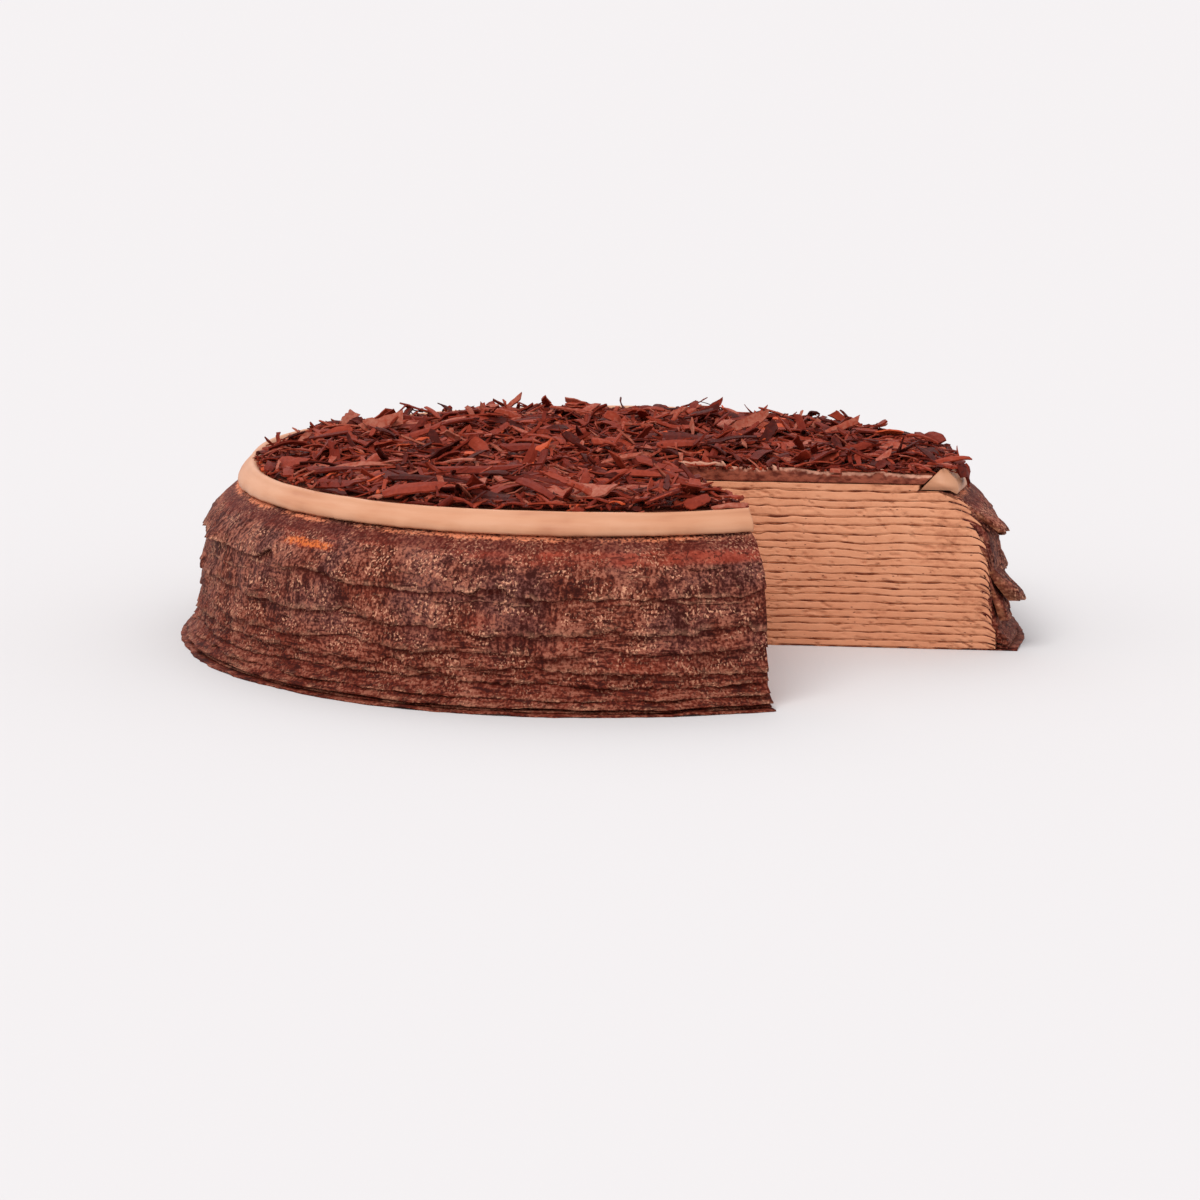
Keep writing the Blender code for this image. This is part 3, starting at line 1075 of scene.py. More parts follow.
    def behind(self, radius: Array, height: Array, rows: int) -> Arrays:
        """Gives the inner side of a hanging sheet in fewer rows, everywhere behind the sheet's folds.

        Args:
            radius: The radius of the sheet's middle, in rows from the top.
            height: Its height.
            rows: How many rows the inner side has at most.

        Returns:
            The radius and the height of the inner side.
        """
        last = len(radius) - 1
        kept = np.unique(np.round(np.linspace(0.0, 1.0, rows) ** 1.7 * last).astype(int))
        _, _, inner_r, inner_z = both_sides(radius, height, self.half)
        spans = zip([0, *kept[:-1]], kept, [*kept[1:], last])
        found = [
            inner_r[row] if after - before <= 2 else radius[before : after + 1].min(axis=0) - self.half
            for before, row, after in spans
        ]
        return np.array(found), inner_z[kept]

    def skirt(self, index: int, ways: Array) -> tuple[Arrays, Array, Array]:
        """Works out a hanging skirt.

        Args:
            index: Which crepe.
            ways: Directions from the wedge's point, one for each column.

        Returns:
            The outer and inner radii and heights, how far down each row is, and the angles of the columns.
        """
        angle = self.wedge.angles(ways, self.stack.skirt(index, np.zeros(1))[0])[None, :]
        hem_drop = index - self.stack.level_at(self.hem_height(index, angle))
        rows = self.grid_size(index)[1]
        down = np.linspace(0.0, 1.0, rows)[:, None] ** 1.25
        drop = down * hem_drop
        radius, height = self.stack.skirt(index, drop)
        loose = ease(0.3, 2.6, drop) * min(1.0, index / 4)
        curl = self.noise.layered(angle * SIDE_RADIUS / (10.0 * MM), index * 4.4, 9.9, 2) + 0.04
        radius = radius + self.ruffle(angle, height, index) * loose
        radius = radius + np.clip(2.2 * curl, -0.5, 1.1) * MM * ease(0.72, 1.0, down) * min(1.0, index / 4)
        radius = radius + self.flap(index, drop, hem_drop, angle)
        outer_r, outer_z = both_sides(radius, height, self.half)[:2]
        inner_r, inner_z = self.behind(radius, height, max(7, rows // 3))
        return (outer_r, outer_z, inner_r, inner_z), down, angle

    def bottom_edge(self, ways: Array) -> tuple[Arrays, Array, Array]:
        """Works out the rim of the lowest crepe, which lies flat under the others.

        Args:
            ways: Directions from the wedge's point, one for each column.

        Returns:
            The same as for a hanging skirt.
        """
        start = self.bottom_start
        angle = self.wedge.angles(ways, start)[None, :]
        along = angle * SIDE_RADIUS
        ragged = self.noise.layered(along / (20.0 * MM), 0.5, 11.0, 2) * 1.1 * MM
        ragged = ragged + self.noise.layered(along / (2.5 * MM), 1.5, 12.0, 3) * 0.7 * MM
        down = np.linspace(0.0, 1.0, 12)[:, None]
        radius = start + (self.foot_radius + ragged - start) * down
        lift = np.clip(self.noise.layered(along / (8.0 * MM), 2.5, 13.0, 2), 0.0, 1.0) * 1.0 * MM
        height = self.stack.levels[0] + lift * ease(0.6, 1.0, down)
        return both_sides(radius, height, self.bottom_half), down, angle

    def flat_line(self, face: CutFace, index: int, start: float, form: Form) -> list[Arrays]:
        """Adds the upper and lower edge of a crepe along a cut, from the wedge's point nearly to its rim.

        Args:
            face: Which cut.
            index: Which crepe.
            start: The radius at which the skirt begins.
            form: The piece that takes the points.

        Returns:
            The point numbers and the places of the upper and of the lower edge.
        """
        way = self.wedge.ways(2)[face.column]
        distance = np.linspace(0.0, float(self.wedge.reach(way, start)), self.flat_samples)[:-1]
        x, y = self.wedge.flat(way, distance)
        middle, half = self.cuts.rest(index, x, y), self.cuts.half(index, x, y)
        relief = np.clip(self.cuts.relief(distance, middle, face.side), -self.sunk, self.proud)
        out = relief[:, None] * self.wedge.outward(way)
        edges = []
        for side in (1.0, -1.0):
            line = self.wedge.place(way, distance, np.maximum(middle + side * half, 0.0)) + out
            edges.append((form.add_points(line, cut=1.0), line))
        return edges

    def build(self, index: int) -> None:
        """Builds one crepe.

        Args:
            index: Which crepe, from 0 at the bottom.
        """
        ways = self.wedge.ways(self.grid_size(index)[0])
        sheet, down, angle = self.skirt(index, ways) if index else self.bottom_edge(ways)
        out_r, out_z, in_r, in_z = sheet
        in_z = np.maximum(in_z, 0.0)
        form = Form()
        looks = self.glow(index, angle, out_z)
        looks["lip"] = ease(0.90, 0.985, down) * (index > 0)
        bare = {"cut": 0.8 * ease(self.far_end + 0.25, self.far_end, angle) * (index in self.flaps)}
        sides = []
        for radius, height, values in ((out_r, out_z, looks), (in_r, in_z, bare)):
            points = self.wedge.place(ways, self.wedge.reach(ways, radius), height)
            for face in CutFace:
                way = ways[face.column]
                ragged = self.noise.layered(height[:, face.column] / (1.4 * MM), index * 1.9, face.side)
                points[:, face.column] += self.end_ragged * ragged[:, None] * self.wedge.outward(way)
            sides.append(form.add_points(points, **values))
        outer, inner = sides
        start = float(np.mean(out_r[0]))
        far, near = (self.flat_line(face, index, start, form) for face in CutFace)
        for side, (rows, height) in enumerate(((outer, out_z), (inner, in_z))):
            near[side][0][0] = far[side][0][0]
            edges = (far[side], near[side])
            self.wedge.sheet(form, edges, rows[0], float(np.mean(height[0])), upward=side == 0)
        form.add_grid(outer)
        form.add_grid(inner, flip=True)
        form.add_grid(np.stack([outer[-1], inner[-1]]))
        for face, lines in zip(CutFace, (far, near)):
            ends = (outer[0, face.column], inner[0, face.column])
            rows = [np.append(numbers, end) for (numbers, _), end in zip(lines, ends)]
            form.add_grid(np.stack(rows), flip=face is CutFace.NEAR)
        form.add_polygon(join([inner[:, 0], outer[::-1, 0]]))
        form.add_polygon(join([outer[:, -1], inner[::-1, -1]]))
        node = f"crepe_{index:02d}"
        hand_over(form.build(f"{node}_browned"), self.material, node)

    def make(self) -> None:
        """Builds every crepe."""
        for index in range(CREPES):
            self.build(index)


@dataclass(frozen=True)
class Surface:
    """The upper or lower surface of a layer: flat out to a radius, then down along a few points.

    Its heights along a cut come from a function. Its middle is level.
    """

    heights: Heights
    radius: Array
    height: Array
    level: float


@dataclass
class Slab:
    """Builds a layer between two surfaces, with finely divided faces at both cuts."""

    wedge: Wedge
    cuts: CutFaces
    columns: int = 110
    samples: int = 170
    rows: int = 6
    bulge: float = 0.03 * MM
    wounded: float = 1.0

    def edge_line(self, face: CutFace, surface: Surface, rim: float, form: Form) -> Arrays:
        """Adds a surface's edge along a cut, from the wedge's point nearly to where it bends.

        Args:
            face: Which cut.
            surface: The surface.
            rim: The value stored on its points, 1 at the top of the layer and 0 at its foot.
            form: The piece that takes the points.

        Returns:
            The point numbers, and their places.
        """
        way = self.wedge.ways(2)[face.column]
        distance = np.linspace(0.0, float(self.wedge.reach(way, surface.radius[0])), self.samples)[:-1]
        line = self.wedge.place(way, distance, surface.heights(*self.wedge.flat(way, distance)))
        return form.add_points(line, rim=rim), line

    def strip(self, surface: Surface, form: Form) -> Arrays:
        """Adds the bent outer part of a surface, all the way round.

        Args:
            surface: The surface.
            form: The piece that takes the points.

        Returns:
            The point numbers in rows and columns, and their places.
        """
        ways = self.wedge.ways(self.columns)
        distance = self.wedge.reach(ways, surface.radius[:, None])
        points = self.wedge.place(ways, distance, surface.height[:, None])
        return form.add_points(points), points

    def face(self, face: CutFace, top: Array, low: Array, ends: Arrays, form: Form) -> None:
        """Adds one cut face.

        Args:
            face: Which cut.
            top: Places of the upper edge, from just beside the wedge's point outwards.
            low: Places of the lower edge.
            ends: Point numbers of the upper and the lower edge, and of the first and the last column.
            form: The piece that takes the points.
        """
        way = self.wedge.ways(2)[face.column]
        share = np.linspace(0.0, 1.0, self.rows + 1)[1:-1, None, None]
        points = top[None] * (1.0 - share) + low[None] * share
        distance = np.hypot(points[..., 0] - self.wedge.apex_x, points[..., 1] - self.wedge.apex_y)
        out = self.cuts.relief(distance, points[..., 2], face.side)
        out = out + self.bulge * np.sin(math.pi * share[..., 0]) * ease(0.0, 2.0 * MM, distance)
        out = out - self.wounded * self.cuts.wounds(distance, points[..., 2], face.side)
        middle = form.add_points(points + out[..., None] * self.wedge.outward(way), rim=1.0 - share[..., 0])
        upper, lower, first, last = ends
        inside = join([upper[None], middle, lower[None]])
        whole = join([first[:, None], inside, last[:, None]], axis=1)
        form.add_grid(whole, flip=face is CutFace.NEAR)

    def build(self, name: str, top: Surface, low: Surface) -> Object:
        """Builds the layer.

        Args:
            name: The piece's name.
            top: Its upper surface.
            low: Its lower surface.

        Returns:
            The piece.
        """
        form = Form()
        upper, upper_at = self.strip(top, form)
        lower, lower_at = self.strip(low, form)
        share = np.linspace(0.0, 1.0, self.rows + 1)[1:-1, None, None]
        closing_at = upper_at[-1] * (1.0 - share) + lower_at[-1] * share
        closing = form.add_points(closing_at, rim=1.0 - share[..., 0])
        closing = join([upper[-1:], closing, lower[-1:]])
        far, near = (
            (*self.edge_line(face, top, 1.0, form), *self.edge_line(face, low, 0.0, form))
            for face in CutFace
        )
        near[0][0], near[2][0] = far[0][0], far[2][0]
        apex_at = far[1][0] * (1.0 - share[:, 0]) + far[3][0] * share[:, 0]
        apex = form.add_points(apex_at, rim=1.0 - share[:, 0, 0])
        apex = join([far[0][:1], apex, far[2][:1]])
        for face, (top_index, top_at, low_index, low_at) in zip(CutFace, (far, near)):
            column = face.column
            top_line = join([top_at[1:], upper_at[:-1, column]])
            low_line = join([low_at[1:], lower_at[:-1, column]])
            ends = (
                join([top_index[1:], upper[:-1, column]]),
                join([low_index[1:], lower[:-1, column]]),
                apex,
                closing[:, column],
            )
            self.face(face, top_line, low_line, ends, form)
        self.wedge.sheet(form, (far[:2], near[:2]), upper[0], top.level, upward=True)
        self.wedge.sheet(form, (far[2:], near[2:]), lower[0], low.level, upward=False)
        form.add_grid(upper)
        form.add_grid(lower, flip=True)
        form.add_grid(closing)
        return form.build(name)


@dataclass
class CreamLayers:
    """The cream between the crepes and the thin layer on the highest one."""

    wedge: Wedge
    stack: Stack
    cuts: CutFaces
    material: Material
    bend_points: int = 7
    upper_drop: float = 1.8
    bottom_radius: float = 116.9 * MM

    def between(self, index: int) -> tuple[Surface, Surface]:
        """Gives the surfaces of the cream on a crepe, which runs out where the next crepe bends over it.

        Args:
            index: The crepe that it lies on.

        Returns:
            The upper and the lower surface.
        """
        half = self.cuts.edge_half + self.cuts.gap
        drops = np.linspace(0.0, 1.0, self.bend_points) ** 1.3
        over = both_sides(*self.stack.skirt(index + 1, drops * self.upper_drop), half)
        over_r = np.minimum(over[2], self.bottom_radius)
        if index == 0:
            level = self.stack.levels[0] + 0.25 * MM + self.cuts.gap
            start = self.stack.skirt(1, np.zeros(1))[0]
            over_z = np.maximum(over[3], level + 0.1 * MM)
            top = Surface(self.side(1, -1.0), over_r, over_z, float(over_z[0]))
            under_r = start + (over_r[-1] - start) * drops
            return top, Surface(lambda x, y: np.full(x.shape, level), under_r, 0.0 * drops + level, level)
        under = both_sides(*self.stack.skirt(index, drops * (self.upper_drop - 1.0)), half)
        under_r = np.minimum(under[0], self.bottom_radius)
        top = Surface(self.side(index + 1, -1.0), over_r, over[3], float(over[3][0]))
        return top, Surface(self.side(index, 1.0), under_r, under[1], float(under[1][0]))

    def side(self, index: int, up: float) -> Heights:
        """Gives the height just over a crepe's flat part, or just under it where up is -1, as a function."""
        cuts = self.cuts
        return lambda x, y: cuts.rest(index, x, y) + up * cuts.half(index, x, y) + up * cuts.gap

    def make(self) -> None:
        """Builds every layer of cream."""
        slab = Slab(self.wedge, self.cuts)
        for index in range(CREPES - 1):
            piece = slab.build(f"cream_{index:02d}_cut", *self.between(index))
            hand_over(piece, self.material, f"cream_{index:02d}")
        last = CREPES - 1
        node = f"cream_{last:02d}"
        low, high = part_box(node)
        radius = np.array([min(-low.x, high.y)])
        halfway = high.z - 0.5 * self.stack.levels[last]
        top = Surface(
            lambda x, y: halfway + 0.5 * self.cuts.rest(last, x, y), radius, np.array([high.z]), high.z
        )
        under = Surface(self.side(last, 1.0), radius, np.array([low.z]), low.z)
        hand_over(slab.build(f"{node}_cut", top, under), self.material, node)


@dataclass
class CreamRing:
    """The ring of cream piped round the rim and drawn smooth."""

    wedge: Wedge
    noise: Noise
    material: Material
    node: str = "cream_ring"
    columns: int = 900
    arc_points: int = 10
    top_radius: float = 101.6 * MM
    rounding: float = 1.5 * MM
    inner_foot: float = 95.4 * MM
    outer_foot: float = 105.4 * MM
    belly: float = 105.8 * MM
    settled: float = 1.55 * MM
    pressed: float = 2.3 * MM
    hanging: float = 1.0 * MM
    bulge: float = 0.65 * MM
    inner_turn: float = 136.0
    outer_turn: float = 10.0
    slope_points: int = 4

    def press(self, angle: Array) -> Array:
        """Gives how far the ring has settled: in front, and more behind the far cut but not at its end."""
        deep = self.settled * ease(2.85, 3.35, angle) + self.pressed * ease(1.4, 0.95, angle)
        return deep * (0.15 + 0.85 * ease(-0.30, -0.17, angle))

    def outline(self) -> Arrays:
        """Gives the ring's section, from its inner foot over the top to its outer foot.

        Returns:
            The radii and the heights.
        """
        low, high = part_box(self.node)
        turn = np.radians(np.linspace(self.inner_turn, self.outer_turn, self.arc_points))
        arc_r = self.top_radius + self.rounding * np.cos(turn)
        arc_z = high.z - self.rounding + self.rounding * np.sin(turn)
        slope = np.linspace(0.0, 1.0, self.slope_points + 1)[:-1]
        inner_r = self.inner_foot + (arc_r[0] - self.inner_foot) * slope
        inner_z = low.z + (arc_z[0] - low.z) * slope
        belly_z = low.z + 0.4 * MM
        side = np.linspace(0.0, 1.0, 6)[1:]
        side_r = arc_r[-1] + (self.belly - arc_r[-1]) * side + self.bulge * np.sin(math.pi * side)
        side_z = arc_z[-1] + (belly_z - arc_z[-1]) * side
        foot_r = np.array([self.belly, self.outer_foot, self.outer_foot - 2.0 * MM])
        foot_z = low.z - np.array([0.5 * self.hanging, self.hanging, 0.0])
        radii = join([inner_r, arc_r, side_r, foot_r])
        return radii, join([inner_z, arc_z, side_z, foot_z])

    def surface(self, x: Array, y: Array) -> Array:
        """Gives the height of the ring's upper side at places.

        Args:
            x: The places' x.
            y: The places' y.

        Returns:
            The heights.
        """
        outline_r, outline_z = self.outline()
        top = self.slope_points + self.arc_points
        return np.interp(np.hypot(x, y), outline_r[:top], outline_z[:top]) - self.press(side_angle(x, y))

    def make(self) -> None:
        """Builds the ring."""
        ways = self.wedge.ways(self.columns)
        radius, height = self.outline()
        foot = height[0]
        angle = self.wedge.angles(ways, self.top_radius)
        along = angle * SIDE_RADIUS
        radius, height = radius[:, None], height[:, None]
        up = np.clip((height - foot) / (5.0 * MM), 0.0, 1.2)
        sway = self.noise.layered(along / (32.0 * MM), 0.5, 21.0, 2) * 0.45 * MM
        grain = self.noise.over(12.0, 1.3, along, height, 22.0) * 0.06 * MM
        swell = self.noise.layered(along / (26.0 * MM), 0.5, 23.0, 2) * 0.25 * MM - self.press(angle)
        hang = self.noise.layered(along / (3.5 * MM), 1.5, 24.0, 3) * 0.45 * MM
        outer_low = ease(104.8 * MM, 105.6 * MM, radius) * ease(0.5, 0.0, up)
        points_r = radius + sway * up + grain * up + hang * outer_low
        points_z = height + swell * up - np.clip(hang, 0.0, 1.0) * outer_low * 0.4
        form = Form()
        grid = form.add_points(self.wedge.place(ways, self.wedge.reach(ways, points_r), points_z))
        form.add_tube(grid.T[::-1])
        hand_over(form.build("cream_ring_drawn"), self.material, self.node)


@dataclass
class GanacheLayer:
    """The ganache inside the ring, with a wavy, torn upper edge at the cuts."""

    wedge: Wedge
    cuts: CutFaces
    noise: Noise
    material: Material
    node: str = "ganache"
    wave_height: float = 1.1 * MM
    flake_height: float = 2.4 * MM
    deeper: float = 1.1 * MM
    rim_drop: float = 1.0 * MM
    side_gap: float = 0.4 * MM
    foot_inset: float = 2.6 * MM

    def top(self, x: Array, y: Array) -> Array:
        """Gives the height of the ganache's top.

        Args:
            x: The places' x.
            y: The places' y.

        Returns:
            The heights.
        """
        waves = self.noise.over(9.0, 9.0, x, y, 31.0)
        flakes = np.clip(self.noise.over(2.8, 2.8, x, y, 32.0, 3), 0.0, 1.0)
        radius = np.hypot(x, y)
        outer = ease(82.0 * MM, 96.0 * MM, radius)
        uneven = self.wave_height * waves + self.flake_height * flakes
        uneven = uneven + self.deeper * ease(70.0 * MM, 30.0 * MM, radius)
        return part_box(self.node)[1].z + uneven * (1.0 - outer) - self.rim_drop * outer

    def make(self) -> None:
        """Builds the ganache."""
        low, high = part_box(self.node)
        radius = np.array([-low.x - self.side_gap])
        top = Surface(self.top, radius, np.array([high.z - self.rim_drop]), high.z - 0.3 * self.rim_drop)
        under = Surface(
            lambda x, y: np.full(x.shape, low.z), radius - self.foot_inset, np.array([low.z]), low.z
        )
        slab = Slab(self.wedge, self.cuts, samples=230, rows=10, bulge=0.25 * MM, wounded=0.6)
        hand_over(slab.build("ganache_cut", top, under), self.material, self.node)


class ShavingKind(Enum):
    """The kinds of shaving in the heap."""

    SHARD = "shards"
    SPLINTER = "splinters"
    PLATE = "plates"
    CURL = "curls"
    CRUMB = "crumbs"


@dataclass(frozen=True)
class ShavingSizes:
    """How many shavings of a kind there are, and the least and greatest length, width and thickness.

    Of a strip it also holds the lengths, the points across, the unevenness and the most bend.
    """

    count: int
    length: Pair
    width: Pair
    thickness: Pair
    steep: float
    strip: tuple[int, int, float, float] | None = None


SHAPES_OF_A_KIND = 10
SHAVINGS = {
    ShavingKind.SHARD: ShavingSizes(
        3300, (2.6 * MM, 10.0 * MM), (0.9 * MM, 2.2 * MM), (0.35 * MM, 0.65 * MM), 0.03, (5, 2, 0.25, 1.8)
    ),
    ShavingKind.SPLINTER: ShavingSizes(
        3300, (3.0 * MM, 10.0 * MM), (0.45 * MM, 1.0 * MM), (0.30 * MM, 0.60 * MM), 0.0, (4, 2, 0.35, 1.4)
    ),
    ShavingKind.PLATE: ShavingSizes(
        900, (6.0 * MM, 17.0 * MM), (2.0 * MM, 4.4 * MM), (0.45 * MM, 0.80 * MM), 0.11, (7, 3, 0.14, 1.6)
    ),
    ShavingKind.CURL: ShavingSizes(
        220, (2.5 * MM, 5.0 * MM), (1.2 * MM, 2.4 * MM), (1.6 * MM, 2.6 * MM), 0.06
    ),
    ShavingKind.CRUMB: ShavingSizes(
        5200, (0.6 * MM, 2.0 * MM), (0.5 * MM, 1.4 * MM), (0.4 * MM, 0.9 * MM), 0.0
    ),
}


@dataclass
class ShavingShapes:
    """The few shapes of each kind of shaving, each one unit long, wide and thick."""

    rng: np.random.Generator

    def strip(self, segments: int, across: int, ragged: float, most_bent: float) -> Form:
        """Makes a flat strip of chocolate with nearly straight sides and broken ends.

        Args:
            segments: How many lengths it is divided into.
            across: How many points its section has on either side.
            ragged: How uneven its edges are.
            most_bent: How far its middle rises or sinks at most, in thicknesses.

        Returns:
            The shape.
        """
        rng = self.rng
        bend = rng.uniform(-most_bent, most_bent)
        along = np.linspace(-0.5, 0.5, segments + 1)
        along[1:-1] += rng.uniform(-0.2, 0.2, segments - 1) / segments
        wide = 1.0 - rng.uniform(0.0, 0.5) * (along + 0.5)
        wide = wide - rng.uniform(0.0, 0.25) * np.abs(2.0 * along) ** 6
        drift = rng.uniform(-0.15, 0.15) * (1.0 - 4.0 * along**2)
        left = -0.5 * wide * (1.0 + rng.uniform(-ragged, ragged, segments + 1)) + drift
        right = 0.5 * wide * (1.0 + rng.uniform(-ragged, ragged, segments + 1)) + drift
        share = np.linspace(0.0, 1.0, across)
        width = left[:, None] + (right - left)[:, None] * share
        slant = np.interp(along, [-0.5, 0.5], rng.uniform(-0.30, 0.30, 2))[:, None] * (share - 0.5)
        torn = rng.uniform(-0.06, 0.06, (segments + 1, across)) * np.abs(2.0 * along)[:, None] ** 4
        length = along[:, None] + slant + torn
        arch = bend * (1.0 - 4.0 * along**2)[:, None] + rng.uniform(-0.5, 0.5) * np.sin(math.pi * share)
        thin = 1.0 - 0.5 * np.abs(2.0 * share - 1.0) * rng.uniform(0.2, 1.0)
        rough = rng.uniform(-0.10, 0.10, (segments + 1, across))
        form = Form()
        upper, lower = (
            form.add_points(np.stack([length, width, arch + side * thin + rough], axis=-1))
            for side in (0.5, -0.5)
        )
        form.add_tube(join([upper, lower[:, ::-1]], axis=1))
        return form

    def curl(self) -> Form:
        """Makes a shaving rolled up along its length.

        Returns:
            The shape.
        """
        rng = self.rng
        steps = 11
        way = np.linspace(0.0, 2.0 * math.pi * rng.uniform(0.55, 1.15), steps)
        radius = np.linspace(0.5, rng.uniform(0.30, 0.42), steps)
        wall = 0.08
        sides = []
        for half in (wall, -wall):
            for end in (-0.5, 0.5):
                slant = end * (1.0 + rng.uniform(-0.25, 0.25, steps)) + rng.uniform(-0.1, 0.1)
                rolled = radius + half
                sides.append(np.stack([slant, rolled * np.cos(way), rolled * np.sin(way)], axis=-1))
        form = Form()
        lines = [form.add_points(line) for line in sides]
        form.add_tube(np.stack([lines[0], lines[1], lines[3], lines[2]], axis=1))
        return form

    def crumb(self) -> Form:
        """Makes a small broken lump.

        Returns:
            The shape.
        """
        rng = self.rng
        around = np.linspace(0.0, 2.0 * math.pi, 6)[:-1]
        rings = []
        for height, size in ((0.4, 0.38), (-0.4, 0.48)):
            radius = size * rng.uniform(0.65, 1.25, 5)
            turned = around + rng.uniform(-0.4, 0.4, 5)
            level = height + rng.uniform(-0.15, 0.15, 5)
            rings.append(np.stack([radius * np.cos(turned), radius * np.sin(turned), level], axis=-1))
        form = Form()
        form.add_tube(np.stack([form.add_points(ring) for ring in rings]))
        return form

    def shape(self, kind: ShavingKind) -> Form:
        """Makes one shape of a kind.

        Args:
            kind: The kind.

        Returns:
            The shape.
        """
        if SHAVINGS[kind].strip is not None:
            return self.strip(*SHAVINGS[kind].strip)
        return self.curl() if kind is ShavingKind.CURL else self.crumb()


@dataclass
class HeightField:
    """Heights over a square grid: the heap's surface so far and at its end, and the room left."""

    half: float = 112.0 * MM
    cell: float = 0.5 * MM
    least_lack: float = 0.8 * MM
    tries: int = 9
    tries_share: float = 0.88
    beside: float = 0.8 * MM
    crowding: float = 8000.0
    cells: int = field(init=False)
    heights: Array = field(init=False)
    target: Array = field(init=False)
    lack: Array = field(init=False)
    room: Array = field(init=False)

    def __post_init__(self) -> None:
        """Starts an empty grid."""
        self.cells = int(2 * self.half / self.cell)
        self.heights = np.zeros((self.cells, self.cells))

    def set_aim(self, target: Array) -> None:
        """Sets the surface that the heap is to have, and from it how much each place lacks at first."""
        self.target = target
        self.lack = np.maximum(target - self.heights, self.least_lack)

    def grid(self) -> Arrays:
        """Gives the x and the y of every cell."""
        axis = (np.arange(self.cells) + 0.5) * self.cell - self.half
        return np.meshgrid(axis, axis, indexing="ij")

    def spots(self, x: Array, y: Array) -> Arrays:
        """Gives the cells that hold places."""
        return tuple(np.clip(((a + self.half) / self.cell).astype(int), 0, self.cells - 1) for a in (x, y))

    def rest(self, x: Array, y: Array, along: Array, steep: float, sink: float) -> Pair:
        """Lays a shaving on the two highest points under it, one on either side of its middle.

        Args:
            x: The x of places under it.
            y: Their y.
            along: How far each lies along the shaving from its middle.
            steep: The steepest slope that it can lie at.
            sink: How far it settles in among the others.

        Returns:
            The height of its middle, and its slope.
        """
        under = self.heights[self.spots(x, y)]
        back, front = along < 0.0, along > 0.0
        low, high = np.argmax(np.where(back, under, -1.0)), np.argmax(np.where(front, under, -1.0))
        slope = float(np.clip((under[high] - under[low]) / (along[high] - along[low]), -steep, steep))
        return float(np.max(under - slope * along)) - sink, slope

    def raise_to(self, x: Array, y: Array, heights: Array) -> None:
        """Raises the surface to a shaving's upper side."""
        np.maximum.at(self.heights, self.spots(x, y), heights)

    def free_spot(self, reach: float, yaw: float, rng: np.random.Generator) -> Pair:
        """Finds, among a few random places, the one where the most of the heap's height is still lacking.

        Args:
            reach: How far the shaving's ends are from its middle.
            yaw: The direction in which it lies.
            rng: The source of random numbers.

        Returns:
            The x and the y.
        """
        radius = self.half * np.sqrt(rng.uniform(0.0, self.tries_share, self.tries))
        angle = rng.uniform(0.0, 2.0 * math.pi, self.tries)
        x, y = radius * np.cos(angle), radius * np.sin(angle)
        score = np.zeros(self.tries)
        for side_x, side_y in ((0.0, 0.0), (1.0, 0.0), (-1.0, 0.0), (0.0, 1.0), (0.0, -1.0)):
            near = self.spots(x + side_x * self.beside, y + side_y * self.beside)
            score = score + 0.2 * (self.target[near] - self.heights[near]) / self.lack[near]
        for way in (-reach, 0.0, reach):
            room = self.room[self.spots(x + way * math.cos(yaw), y + way * math.sin(yaw))]
            score = score + self.crowding * np.minimum(room, 0.0)
        best = int(np.argmax(score))
        return float(x[best]), float(y[best])


@dataclass(frozen=True)
class Laid:
    """A shaving in its place: its middle, its turn about x, y and z, its size, and which shape it has."""

    place: Triple
    turn: Triple
    size: Triple
    shape: int


@dataclass(frozen=True)
class LargeShaving:
    """A large shaving that stands out on the heap, laid at a given place. Its lengths are in millimetres."""

    x: float
    y: float
    length: float
    width: float
    yaw: float
    roll: float = 0.0
    pitch: float | None = None
    height: float | None = None


LARGE_SHAVINGS = (
    LargeShaving(-33.0, -50.0, 27.0, 4.0, -0.35, 0.5),
    LargeShaving(-51.0, -82.0, 17.0, 5.0, -0.35, 0.45),
    LargeShaving(-3.0, -88.0, 14.0, 6.0, -0.55, 0.45),
    LargeShaving(-72.0, -48.0, 18.0, 3.0, 0.45, 0.2),
    LargeShaving(-66.0, -40.0, 16.0, 2.6, 0.30, 0.3),
    LargeShaving(-88.0, -30.0, 12.0, 4.5, -0.9, 0.6),
    LargeShaving(8.0, -60.0, 17.0, 3.6, -0.35, 0.5),
    LargeShaving(-30.0, -86.0, 16.0, 4.0, -0.75, 0.5),
    LargeShaving(-48.0, -66.0, 20.0, 2.8, 0.10, 0.4),
    LargeShaving(-14.0, -74.0, 19.0, 3.2, -0.12, 0.5),
    LargeShaving(-20.0, -20.0, 20.0, 4.0, 0.75, 0.4),
    LargeShaving(22.0, 4.0, 18.0, 4.4, -0.45, 0.5),
    LargeShaving(-38.0, 64.0, 9.0, 3.3, 0.1, 1.45, -1.35),
    LargeShaving(30.0, 60.0, 12.0, 4.0, 0.3, 0.8, -0.35),
    LargeShaving(44.0, 36.0, 12.0, 3.4, 0.1, 0.9, -0.4),
    LargeShaving(-66.0, 34.0, 12.0, 5.0, 0.4, 0.7, -0.25),
    LargeShaving(34.0, 78.0, 9.0, 3.0, 0.5, 0.9, -0.45),
    LargeShaving(72.0, 30.0, 10.0, 2.4, 0.2, 0.9, -0.4),
    LargeShaving(99.0, -25.0, 12.0, 2.4, 0.15, 0.5, -0.15),
    LargeShaving(102.2, -29.5, 8.0, 3.4, 1.05, 1.15, 0.45, 49.6),
    LargeShaving(103.8, -24.0, 9.0, 3.2, 1.45, 1.10, -0.30, 49.2),
)


